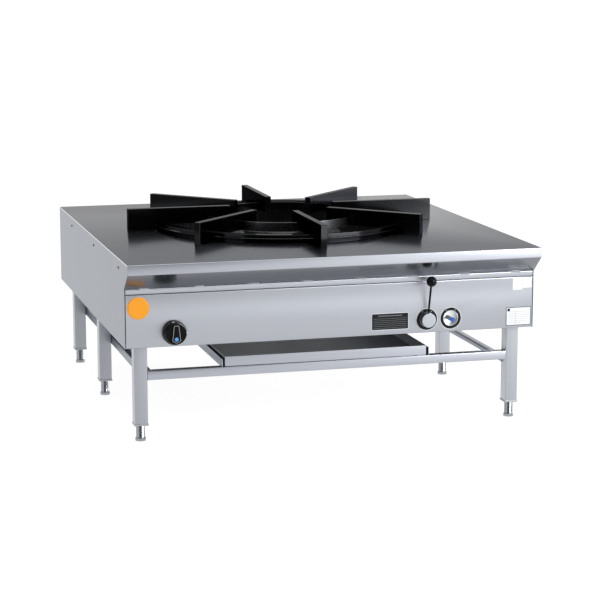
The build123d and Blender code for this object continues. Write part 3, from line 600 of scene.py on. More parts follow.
class STOVE_OT_body(bpy.types.Operator):
    """Builds the deck, its hook strip, the control panel and the side and rear panels"""

    bl_idname = "stove.body"
    bl_label = "Body sheets"

    # Thickness of the deck and of the other sheets, and the depth of their folds
    DECK_SHEET = 2.0
    SKIN = 1.5
    FOLD = 15.0
    PANEL_FOLD = 20.0
    # Upright front of the deck, drop of its side flanges, and height of the hook strip
    FASCIA = 28.0
    FLANGE = 33.0
    STRIP = 16.0
    # Rounding at the foot of the raised rim and inside the deck's folds
    RIM_FOLD = 3.0
    EDGE_FOLD = 0.3
    # Gap between the front sheets and the side panels
    JOINT = 2.2
    # Width of a hook, its rise, sheet and lip, its slot, and the first one's distance from the side
    HOOK = 28.0
    HOOK_RISE = 4.0
    HOOK_SHEET = 0.8
    HOOK_LIP = 0.3
    HOOK_SLOT = 5.0
    HOOKS = 8
    HOOK_FROM_SIDE = 56.0
    HOOK_EDGE = 0.2
    # Radii of the holes, and the gas inlet's place
    KNOB_HOLE = 7.0
    LEVER_HOLE = 12.0
    CUP_HOLE = 22.5
    INLET_HOLE = 14.95
    FEED_FROM_RIGHT = 180.0
    # How far cutters reach past the sheet
    SPARE = 40.0
    # The deck's faces take copies of one steel: the top and the nose darker, as painted shade, the cut ends
    # white, as a painted highlight, and the rim nearly black
    DECK_FINISHES = ("sheet", "deck_top", "nose", "rim", "painted_highlight_end")
    # The top takes in the first steps of the rim's rounding. The nose is all that leans down below the fascia
    TOP_FACING = 0.8
    NOSE_FACING = 0.3
    # How far top and end faces may lie inside the deck's outline, and how far above the top the rim begins
    END_REACH = 1.0
    RIM_REACH = 0.1

    def execute(self, context):
        sizes = context.scene.stove_sizes
        self.fold = in_mm(sizes.fold_radius)
        self.edge = in_mm(sizes.sheet_edge)
        self.deck_low, self.deck_high = span("deck")
        self.deck_top = self.deck_high.z - self.rim_rise()
        self.under = self.deck_top - self.DECK_SHEET
        self.panel_low, self.panel_high = span("control_panel")
        self.panel_y = self.panel_low.y
        self.chamfer_low = self.deck_low.z
        self.deck()
        self.strip()
        self.panel()
        self.sides()
        self.rear()
        return {"FINISHED"}

    def rim_rise(self):
        """Height of the deck's raised rim over its top, which the trivet's arms stand on."""
        return self.deck_high.z - span("trivet_arm_1")[0].z

    def hook_places(self):
        """Middles of the hooks along X."""
        first = self.deck_low.x + self.HOOK_FROM_SIDE
        pitch = (self.deck_high.x - self.deck_low.x - 2 * self.HOOK_FROM_SIDE) / (self.HOOKS - 1)
        return [first + i * pitch for i in range(self.HOOKS)]

    def deck(self):
        """The deck in one folded sheet, with the raised rim round the well and the hooks' slots."""
        low = self.deck_low
        high = self.deck_high
        top = self.deck_top
        path = [
            (high.y, top - self.FASCIA),
            (high.y, top),
            (low.y, top),
            (low.y, top - self.FASCIA),
            (self.panel_y, low.z),
            (self.panel_y + self.FOLD, low.z),
        ]
        outer_fold = self.DECK_SHEET + self.EDGE_FOLD
        piece = folded("deck_sheet", [(low.x, high.x, path)], self.DECK_SHEET, outer_fold, 1)
        well_low, well_high = span("burner_well")
        rim = (well_low + well_high) / 2
        outer = (well_high.x - well_low.x) / 2
        inner = outer - self.DECK_SHEET
        combine(piece, self.deck_cutters(rim, inner), "DIFFERENCE")
        collar = bmesh.new()
        profile = [(inner, self.under), (inner, high.z), (outer, high.z), (outer, self.under)]
        turned(collar, profile, (rim.x, rim.y, 0), steps=LARGE_CIRCLE)
        combine(piece, collar, "UNION")
        self.round_rim(piece, rim, outer)
        self.deck_flanges()
        finish(piece, BODY, self.DECK_FINISHES, self.edge, ["deck"])
        for face in piece.data.polygons:
            face.material_index = self.DECK_FINISHES.index(self.deck_finish(face))

    def deck_cutters(self, rim, radius):
        """Shapes to cut from the deck: its sides below the top, the well's hole and the hooks' slots."""
        low = self.deck_low
        high = self.deck_high
        spare = self.SPARE
        cutters = bmesh.new()
        for hand in HANDS:
            x0, x1 = sorted((hand * (high.x + spare), hand * (high.x - self.SKIN)))
            block(cutters, (x0, low.y - spare, low.z - spare), (x1, high.y + spare, self.under))
        below = (rim.x, rim.y, self.under - spare)
        rod(cutters, radius, below, (rim.x, rim.y, self.deck_top + spare), LARGE_CIRCLE)
        for x in self.hook_places():
            end = x - self.HOOK / 2
            low_corner = (end - self.HOOK_SLOT, self.panel_y - self.HOOK_RISE, low.z + self.HOOK_LIP)
            block(cutters, low_corner, (end, self.panel_y + self.DECK_SHEET, low.z + self.HOOK_RISE))
        return cutters

    def deck_flanges(self):
        """The deck's side flanges, which hang inside the side panels."""
        high = self.deck_high
        bm = bmesh.new()
        for hand in HANDS:
            x0, x1 = sorted((hand * (high.x - self.SKIN), hand * (high.x - 2 * self.SKIN)))
            back = high.y - self.DECK_SHEET
            block(bm, (x0, self.panel_y, self.deck_top - self.FLANGE), (x1, back, self.under))
        finish(to_object(bm, "deck_side_flanges"), BODY, ["sheet_side_painted_shade"])

    def deck_finish(self, face):
        """The finish of one face of the deck, by its place and where it looks."""
        place = face.center / MM
        # The deck's cut ends at the sides take the white copy: a painted highlight along its side edges
        if abs(face.normal.x) > FACING and abs(place.x) > self.deck_high.x - self.END_REACH:
            return "painted_highlight_end"
        if place.z > self.deck_top + self.RIM_REACH:
            return "rim"
        # The top takes its darker copy: painted shade
        if face.normal.z > self.TOP_FACING and place.z > self.deck_top - self.END_REACH:
            return "deck_top"
        # Faces that look down under the fascia take the nose's darker copy: painted shade
        below_fascia = place.y < self.panel_y and place.z < self.deck_top - self.FASCIA
        if face.normal.z < -self.NOSE_FACING and below_fascia:
            return "nose"
        return "sheet"

    def round_rim(self, piece, rim, radius):
        """Rounds the corner where the raised rim turns up out of the deck."""
        bm = bmesh.new()
        bm.from_mesh(piece.data)

        def on_corner(vert):
            x, y, z = vert.co / MM
            away = math.hypot(x - rim.x, y - rim.y)
            return abs(away - radius) < ROUND_SLACK and abs(z - self.deck_top) < LEVEL_SLACK

        corner = [e for e in bm.edges if all(on_corner(v) for v in e.verts)]
        round_edges(bm, corner, self.RIM_FOLD * MM)
        bm.to_mesh(piece.data)
        bm.free()

    def strip(self):
        """The channel under the front edge, with its hooks."""
        low, high = span("hook_strip")
        y = self.panel_y
        top = self.chamfer_low
        bottom = top - self.STRIP
        path = [(y + self.FOLD, top), (y, top), (y, bottom), (y + self.FOLD, bottom)]
        outer_fold = self.fold + self.SKIN
        paths = [(low.x + self.JOINT, high.x - self.JOINT, path)]
        piece = folded("hook_strip_sheet", paths, self.SKIN, outer_fold, 1)
        finish(piece, BODY, ["panel"], self.HOOK_EDGE, ["hook_strip"])
        front = self.panel_y - self.HOOK_SHEET
        slope_y = self.deck_low.y - self.panel_y
        slope_z = self.deck_top - self.FASCIA - top
        share = self.HOOK_RISE / math.hypot(slope_y, slope_z)
        tip = (front + share * slope_y, top - self.HOOK_LIP + share * slope_z)
        hook = [(front, top - self.HOOK_RISE), (front, top - self.HOOK_LIP), tip]
        half = self.HOOK / 2
        paths = [(x - half, x + half, hook) for x in self.hook_places()]
        piece = folded("hook_strip_hooks", paths, self.HOOK_SHEET, self.fold / 2, -1)
        finish(piece, BODY, ["panel"], self.HOOK_EDGE)

    def panel(self):
        """The control panel, with its holes."""
        low = self.panel_low
        high = self.panel_high
        path = [
            (low.y + self.FOLD, high.z),
            (low.y, high.z),
            (low.y, low.z),
            (low.y + self.PANEL_FOLD, low.z),
        ]
        outer_fold = self.fold + self.SKIN
        paths = [(low.x + self.JOINT, high.x - self.JOINT, path)]
        piece = folded("control_panel_sheet", paths, self.SKIN, outer_fold, 1)
        holes = (
            (middle("control_knob"), self.KNOB_HOLE),
            (middle("lever_hub"), self.LEVER_HOLE),
            (middle("igniter_cup"), self.CUP_HOLE),
        )
        cutters = bmesh.new()
        for place, radius in holes:
            front = (place.x, low.y - radius, place.z)
            rod(cutters, radius, front, (place.x, low.y + self.FOLD / 2, place.z))
        combine(piece, cutters, "DIFFERENCE")
        finish(piece, BODY, ["panel"], self.edge, ["control_panel"])

    def sides(self):
        """The two side panels, with their folds."""
        for hand, name in zip(HANDS, ("left_side_panel", "right_side_panel")):
            low, high = span(name)
            face_x = hand * max(abs(low.x), abs(high.x))
            outline = [
                (low.y, high.z),
                (low.y, self.deck_top - self.FASCIA),
                (self.panel_y, self.chamfer_low),
                (self.panel_y, low.z),
                (high.y, low.z),
                (high.y, high.z),
            ]
            bm = bmesh.new()
            face = outline_face(bm, [(face_x, y, z) for y, z in outline])
            push(bm, [face], (-hand * self.SKIN, 0, 0))
            x0, x1 = sorted((face_x - hand * self.SKIN, face_x - hand * (self.SKIN + self.FOLD)))
            front = self.panel_y + self.PANEL_FOLD + self.FOLD
            flange_top = self.deck_top - self.FLANGE
            block(bm, (x0, front, low.z), (x1, high.y, low.z + self.SKIN))
            block(bm, (x0, high.y - self.SKIN, low.z), (x1, high.y, flange_top))
            block(bm, (x0, front, low.z), (x1, front + self.SKIN, flange_top))
            piece = to_object(bm, name + "_sheet")
            finish(piece, BODY, ["sheet_side_painted_shade"], 0, [name])

    def rear(self):
        """The rear panel, with the hole for the gas inlet."""
        low, high = span("rear_panel")
        path = [(high.y, high.z), (low.y, high.z), (low.y, low.z), (high.y, low.z)]
        piece = folded("rear_panel_sheet", [(low.x, high.x, path)], self.SKIN, self.fold + self.SKIN, 1)
        x = self.deck_high.x - self.FEED_FROM_RIGHT
        z = middle("lever_hub").z
        cutters = bmesh.new()
        rod(cutters, self.INLET_HOLE, (x, low.y - self.FOLD, z), (x, low.y + self.FOLD / 2, z))
        combine(piece, cutters, "DIFFERENCE")
        finish(piece, BODY, ["sheet"], self.edge, ["rear_panel"])


class STOVE_OT_stand(bpy.types.Operator):
    """Builds the legs, their plugs and feet, the rails and the deck's frame"""

    bl_idname = "stove.stand"
    bl_label = "Legs, feet and rails"

    # Wall of the tubes, and how far an end plug stands out round its leg and below it
    WALL = 1.5
    PLUG_FLARE = 1.2
    PLUG_RIM = 6.0
    # Height of a foot's base, radius of its barrel, its neck, height of the barrel's top, radius of its stem
    FOOT_BASE = 9.0
    FOOT_BARREL = 13.0
    FOOT_NECK = 1.0
    FOOT_HEIGHT = 45.0
    FOOT_STEM = 8.0
    # Turns of thread that show, their depth, and the long flank's share of a turn
    FOOT_TURNS = 9
    FOOT_THREAD = 0.8
    FOOT_FLANK = 0.9

    def execute(self, context):
        sizes = context.scene.stove_sizes
        self.corner = in_mm(sizes.tube_corner)
        self.edge = in_mm(sizes.sheet_edge)
        self.turned_edge = in_mm(sizes.machined_edge)
        plugs = bmesh.new()
        for row in ROWS:
            for side in SIDES:
                leg = self.tube_piece(f"leg_{row}_{side}", Z_AXIS, ["tube", "tube_painted_highlight"])
                # Faces that look left or right take the paler copy: a painted highlight
                for face in leg.data.polygons:
                    face.material_index = int(abs(face.normal.x) > abs(face.normal.y))
                self.foot(f"foot_{row}_{side}")
                low, high = span(f"leg_{row}_{side}")
                flare = Vector((self.PLUG_FLARE, self.PLUG_FLARE, 0))
                bottom = low - flare - Vector((0, 0, self.PLUG_RIM))
                block(plugs, bottom, Vector((high.x, high.y, low.z)) + flare)
        piece = to_object(plugs, "leg_end_plugs")
        edge = self.PLUG_FLARE
        finish(piece, BODY, ["tube"], edge, ["leg_plugs"], SOFT_EDGE_STEPS)
        for node in ("front_rail", "rear_rail", "middle_cross_rail"):
            self.tube_piece(node, X_AXIS, ["sheet"])
        sides = ["left_side_rail", "right_side_rail", "deck_frame"]
        dress(sides, "sheet_side_painted_shade", self.edge)
        return {"FINISHED"}

    def tube_piece(self, node, axis, materials):
        """A square tube with round corners in place of a CAD node."""
        low, high = span(node)
        piece = square_tube(node + "_tube", low, high, axis, self.WALL, self.corner)
        return finish(piece, BODY, materials, 0, [node])

    def thread(self):
        """Profile of the barrel's buttress thread, whose long flanks lean a little upwards."""
        start = self.FOOT_BASE + 2 * self.FOOT_NECK
        pitch = (self.FOOT_HEIGHT - self.FOOT_NECK - start) / self.FOOT_TURNS
        points = []
        for i in range(self.FOOT_TURNS):
            level = start + i * pitch
            points.append((self.FOOT_BARREL, level))
            points.append((self.FOOT_BARREL - self.FOOT_THREAD, level + pitch * self.FOOT_FLANK))
        return points

    def foot(self, node):
        """A turned and chromed screw foot."""
        low, high = span(node)
        centre = (low + high) / 2
        base = (high.x - low.x) / 2
        neck = self.FOOT_BARREL - self.FOOT_NECK
        profile = [
            (0, 0),
            (base, 0),
            (base, self.FOOT_BASE - self.FOOT_NECK),
            (neck, self.FOOT_BASE),
            (neck, self.FOOT_BASE + self.FOOT_NECK),
            *self.thread(),
            (self.FOOT_BARREL, self.FOOT_HEIGHT),
            (self.FOOT_STEM, self.FOOT_HEIGHT),
            (self.FOOT_STEM, high.z - low.z),
            (0, high.z - low.z),
        ]
        bm = bmesh.new()
        turned(bm, profile, (centre.x, centre.y, low.z), steps=SMALL_CIRCLE)
        piece = to_object(bm, node + "_turned")
        finish(piece, node, ["chrome"], self.turned_edge, [node])


class STOVE_OT_tray(bpy.types.Operator):
    """Builds the drip tray and its runners"""

    bl_idname = "stove.tray"
    bl_label = "Drip tray"

    SHEET = 1.2
    FOLD = 2.5

    def execute(self, context):
        edge = in_mm(context.scene.stove_sizes.sheet_edge)
        low, high = span("drip_tray")
        bm = bmesh.new()
        block(bm, low, high)
        bm.normal_update()
        top = [f for f in bm.faces if f.normal.z > FACING]
        bmesh.ops.delete(bm, geom=top, context="FACES_ONLY")
        round_edges(bm, [e for e in bm.edges if len(e.link_faces) == 2], self.FOLD)
        piece = to_object(bm, "drip_tray_pan", closed=False)
        thicken(piece, self.SHEET)
        finish(piece, "drip_tray", ["sheet", "tray"], edge, ["drip_tray"])
        # The tray's floor takes the darker copy: painted shade
        for face in piece.data.polygons:
            if face.normal.z > FACING and face.center.z / MM < low.z + self.FOLD:
                face.material_index = 1
        dress(["tray_runners"], "sheet_side_painted_shade", edge)
        return {"FINISHED"}


class STOVE_OT_trivet(bpy.types.Operator):
    """Builds the trivet's plates and hoops"""

    bl_idname = "stove.trivet"
    bl_label = "Trivet"

    ARMS = 8
    # Thickness of a plate, length of its foot, and height of the rest of it over the deck
    THICK = 19.0
    FOOT_LENGTH = 83.0
    FOOT_RISE = 16.0
    # Name, width and outside finish. The outside of the inner band takes a grey painted reflection
    HOOPS = (("trivet_outer_hoop", 23.0, "iron"), ("trivet_inner_hoop", 6.0, "band"))
    # Share of a hoop's width that counts as its outside
    OUTSIDE = 0.25

    def execute(self, context):
        edge = in_mm(context.scene.stove_sizes.plate_edge)
        low, high = span("trivet_arm_1")
        centre = middle("trivet_outer_hoop")
        foot = high.x - self.FOOT_LENGTH
        outline = [
            (low.x, low.z + self.FOOT_RISE),
            (foot, low.z + self.FOOT_RISE),
            (foot, low.z),
            (high.x, low.z),
            (high.x, high.z),
            (low.x, high.z),
        ]
        for i in range(self.ARMS):
            bm = bmesh.new()
            face = outline_face(bm, [(r, -self.THICK / 2, z) for r, z in outline])
            push(bm, [face], (0, self.THICK, 0))
            turn = Matrix.Rotation(i * 2 * math.pi / self.ARMS, 3, "Z")
            bmesh.ops.rotate(bm, verts=bm.verts, cent=(0, 0, 0), matrix=turn)
            bmesh.ops.translate(bm, verts=bm.verts, vec=(centre.x, centre.y, 0))
            node = f"trivet_arm_{i + 1}"
            piece = to_object(bm, node + "_plate")
            finish(piece, "trivet", ["iron"], edge, [node], SOFT_EDGE_STEPS)
        for node, width, material in self.HOOPS:
            low, high = span(node)
            outer = (high.x - low.x) / 2
            height = high.z - low.z
            profile = [(outer, 0), (outer, height), (outer - width, height), (outer - width, 0)]
            bm = bmesh.new()
            turned(bm, profile, (centre.x, centre.y, low.z), steps=LARGE_CIRCLE)
            piece = to_object(bm, node + "_ring")
            finish(piece, "trivet", ["iron", material], edge, [node])
            # The outer share of each hoop takes its outside finish, which on the inner band is a painted
            # reflection
            for face in piece.data.polygons:
                reach = (face.center / MM - Vector((centre.x, centre.y, 0))).xy.length
                face.material_index = int(reach > outer - width * self.OUTSIDE)
        return {"FINISHED"}


class STOVE_OT_burner(bpy.types.Operator):
    """Builds the burner well and finishes the burner and its pilot"""

    bl_idname = "stove.burner"
    bl_label = "Burner"

    WELL_SHEET = 1.5
    WELL_LIP = 2.3
    WELL_FOLD = 2.5
    # Width of the ledge and its depth under the deck's top
    LEDGE = 40.0
    LEDGE_DROP = 76.5
    PIPE_HOLE = 22.5

    def execute(self, context):
        self.well()
        edge = in_mm(context.scene.stove_sizes.machined_edge)
        dress(["burner_bars"], "sheet_side_painted_shade", edge)
        dress(["burner_casting", "burner_caps"], "cast", edge)
        dress(["pilot_burner"], "sheet", FINE_EDGE)
        return {"FINISHED"}

    def well(self):
        """The spun well: lip over the rim, wall, ledge and open funnel."""
        low, high = span("burner_well")
        centre = (low + high) / 2
        lip = (high.x - low.x) / 2
        wall = lip - self.WELL_LIP
        lip_z = high.z - self.WELL_SHEET
        deck_top = span("trivet_arm_1")[0].z
        ledge_z = deck_top - self.LEDGE_DROP
        ledge = wall - self.LEDGE
        drop = ledge_z - low.z
        path = [(lip, lip_z), (wall, lip_z), (wall, ledge_z), (ledge, ledge_z), (ledge - drop, low.z)]
        bm = bmesh.new()
        turned(bm, path, (centre.x, centre.y, 0), steps=LARGE_CIRCLE, closed=False)
        bmesh.ops.recalc_face_normals(bm, faces=bm.faces)
        probe = max(bm.faces, key=lambda f: f.calc_area())
        away = probe.calc_center_median() - centre
        if probe.normal.dot(Vector((away.x, away.y, 0))) < 0:
            bmesh.ops.reverse_faces(bm, faces=bm.faces)

        def on_circle(vert, radius, level):
            away = math.hypot(vert.co.x - centre.x, vert.co.y - centre.y)
            return abs(away - radius) < ROUND_SLACK and abs(vert.co.z - level) < LEVEL_SLACK

        folds = []
        for radius in (wall, ledge):
            folds += [e for e in bm.edges if all(on_circle(v, radius, ledge_z) for v in e.verts)]
        round_edges(bm, folds, self.WELL_FOLD)
        piece = to_object(bm, "burner_well_spun", closed=False)
        thicken(piece, self.WELL_SHEET)
        cutters = bmesh.new()
        pipe = middle("injector")
        rod(cutters, self.PIPE_HOLE, (pipe.x, centre.y - lip, pipe.z), (pipe.x, centre.y - ledge, pipe.z))
        combine(piece, cutters, "DIFFERENCE")
        finish(piece, BODY, ["well"], FINE_EDGE, ["burner_well"])


class STOVE_OT_gas_train(bpy.types.Operator):
    """Finishes the pipes, valves and other pieces of the gas train"""

    bl_idname = "stove.gas_train"
    bl_label = "Gas train"

    def execute(self, context):
        edge = in_mm(context.scene.stove_sizes.machined_edge)
        dress(["gas_manifold", "burner_feed_pipe"], "pipe", edge)
        dress(["injector", "knob_valve", "main_gas_cock"], "brass", edge)
        dress(["knob_spindle"], "zinc", edge, "knob_spindle")
        dress(["side_screws"], "oxide", FINE_EDGE)
        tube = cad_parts["pilot_tube"]
        tube.data.materials.clear()
        tube.data.materials.append(finishes["aluminium"])
        return {"FINISHED"}


class STOVE_OT_knob(bpy.types.Operator):
    """Builds the control knob with its pointer, lines and dots"""

    bl_idname = "stove.knob"
    bl_label = "Control knob"

    # Depth of the skirt, width of the shoulder in front of it, the front, and the bore for the spindle
    SKIRT = 6.0
    SHOULDER = 2.0
    FRONT_RADIUS = 29.0
    HEIGHT = 24.0
    BORE = 4.05
    BORE_DEPTH = 16.0
    # Half of the pointer's two widths, its length, its point and its rise
    POINTER_HALF = 13.0
    POINTER_TOP_HALF = 8.0
    POINTER_LENGTH = 52.0
    POINTER_POINT = 7.0
    POINTER_RISE = 5.0
    # Width of the painted highlight lines, their distance from the pointer's edge, and their rise
    LINE = 1.5
    LINE_INSET = 1.0
    PRINT = 0.25
    # Low and high corner of the grey mark, a painted highlight, from the top of the shoulder's inner edge
    MARK_LOW = (-9.0, -6.0, -4.0)
    MARK_HIGH = (-2.0, 1.0, 0.8)
    # The blue dot on the pointer, and the white one on the shoulder
    DOT = 5.4
    DOT_STEPS = 32
    DOT_FROM_POINT = 12.5
    DOT_EDGE = 0.15
    INDEX_DOT = 2.3
    INDEX_INSET = 1.5
    INDEX_RISE = 1.6

    def execute(self, context):
        edge = in_mm(context.scene.stove_sizes.moulded_edge)
        low, high = span("control_knob")
        centre = (low + high) / 2
        radius = (high.x - low.x) / 2
        profile = [
            (self.BORE, 0),
            (radius, 0),
            (radius, self.SKIRT),
            (radius - self.SHOULDER, self.SKIRT),
            (self.FRONT_RADIUS, self.HEIGHT),
            (0, self.HEIGHT),
            (0, self.BORE_DEPTH),
            (self.BORE, self.BORE_DEPTH),
        ]
        bm = bmesh.new()
        turned(bm, profile, (centre.x, high.y, centre.z), axis="Y")
        piece = to_object(bm, "control_knob_moulding")
        self.plastic(piece, edge, ["control_knob"])
        pointer = bmesh.new()
        face = outline_face(pointer, [(x, low.y, z) for x, z in self.pointer(centre, 0)])
        push(pointer, [face], (0, self.POINTER_RISE, 0))
        piece = to_object(pointer, "control_knob_pointer")
        self.plastic(piece, edge)
        shoulder = high.y - self.SKIRT
        self.draw_painted_highlights(centre, low.y, shoulder, radius - self.SHOULDER)
        self.dots(centre, low.y, shoulder, radius)
        return {"FINISHED"}

    def pointer(self, centre, inset):
        """Corners of the pointer's outline, drawn in by a distance."""
        half = self.POINTER_HALF - inset
        top_half = self.POINTER_TOP_HALF - inset
        top = centre.z + self.POINTER_LENGTH / 2 - inset
        low = centre.z - self.POINTER_LENGTH / 2 + inset
        shoulder = low + self.POINTER_POINT
        shape = [(-top_half, top), (top_half, top), (half, shoulder), (0, low), (-half, shoulder)]
        return [(centre.x + x, z) for x, z in shape]

    def plastic(self, piece, edge, nodes=()):
        """Finishes a moulded piece of the knob."""
        finish(piece, "control_knob", ["plastic"], edge, nodes, SOFT_EDGE_STEPS)

    def draw_painted_highlights(self, centre, front, shoulder, inner):
        """The grey outline on the pointer, the grey line round the shoulder, and the grey mark."""
        # The grey lines and the mark are painted highlights on the knob's edges
        bm = bmesh.new()
        printed = front - self.PRINT
        corners = [(x, printed, z) for x, z in self.pointer(centre, self.LINE_INSET)]
        outline = outline_face(bm, corners)
        bm.normal_update()
        bmesh.ops.inset_region(
            bm, faces=[outline], thickness=self.LINE, use_boundary=True, use_even_offset=True
        )
        bmesh.ops.delete(bm, geom=[outline], context="FACES_ONLY")
        push(bm, list(bm.faces), (0, 2 * self.PRINT, 0))
        ring_in = inner - self.LINE
        ring_out = inner + self.LINE / 2
        ring = [(ring_in, 0), (ring_out, 0), (ring_out, self.PRINT), (ring_in, self.PRINT)]
        turned(bm, ring, (centre.x, shoulder, centre.z), axis="Y")
        crown = Vector((centre.x, shoulder, centre.z + inner))
        block(bm, crown + Vector(self.MARK_LOW), crown + Vector(self.MARK_HIGH))
        finish(to_object(bm, "knob_painted_highlight_lines"), "control_knob", ["mark"])

    def dots(self, centre, front, shoulder, radius):
        """The blue dot near the pointer's point, and the white dot on the shoulder."""
        dot_z = centre.z - self.POINTER_LENGTH / 2 + self.DOT_FROM_POINT
        dot_front = (centre.x, front - self.PRINT, dot_z)
        dot_back = (centre.x, front + self.PRINT, dot_z)
        bm = bmesh.new()
        rod(bm, self.DOT, dot_front, dot_back, self.DOT_STEPS)
        piece = to_object(bm, "knob_dot")
        finish(piece, "control_knob", ["dot"], self.DOT_EDGE)
        index_x = centre.x + radius - self.INDEX_INSET
        index_front = (index_x, shoulder - self.INDEX_RISE, centre.z)
        bm = bmesh.new()
        rod(bm, self.INDEX_DOT, index_front, (index_x, shoulder, centre.z), TINY_CIRCLE)
        piece = to_object(bm, "knob_index_dot")
        finish(piece, "control_knob", ["white"], self.DOT_EDGE)


class STOVE_OT_lever(bpy.types.Operator):
    """Builds the lever's hub, rod and ball"""

    bl_idname = "stove.lever"
    bl_label = "Lever"

    HUB_LENGTH = 19.0
    SPINDLE = 7.0
    BALL_STEPS = 48

    def execute(self, context):
        edge = in_mm(context.scene.stove_sizes.machined_edge)
        low, high = span("lever_hub")
        centre = (low + high) / 2
        radius = (high.x - low.x) / 2
        reach = high.y - low.y
        spindle_root = reach - self.HUB_LENGTH
        profile = [
            (0, 0),
            (self.SPINDLE, 0),
            (self.SPINDLE, spindle_root),
            (radius, spindle_root),
            (radius, reach),
            (0, reach),
        ]
        bm = bmesh.new()
        turned(bm, profile, (centre.x, high.y, centre.z), axis="Y")
        piece = to_object(bm, "lever_hub_turned")
        finish(piece, "lever", ["satin"], edge, ["lever_hub"], SOFT_EDGE_STEPS)
        low, high = span("lever_ball")
        bm = bmesh.new()
        steps = self.BALL_STEPS
        radius = (high.z - low.z) / 2
        bmesh.ops.create_uvsphere(bm, u_segments=steps, v_segments=steps // 2, radius=radius)
        bmesh.ops.translate(bm, verts=bm.verts, vec=(low + high) / 2)
        piece = to_object(bm, "lever_ball_moulding")
        finish(piece, "lever", ["plastic"], 0, ["lever_ball"])
        dress(["lever_rod"], "plastic", FINE_EDGE, "lever")
        return {"FINISHED"}


class STOVE_OT_igniter(bpy.types.Operator):
    """Finishes the igniter's cup, barrel and button"""

    bl_idname = "stove.igniter"
    bl_label = "Igniter"

    def execute(self, context):
        edge = in_mm(context.scene.stove_sizes.sheet_edge)
        dress(["igniter_cup"], "cup", edge)
        dress(["igniter_barrel"], "grey_plastic", edge)
        dress(["igniter_button"], "blue_plastic", edge, "igniter_button")
        return {"FINISHED"}


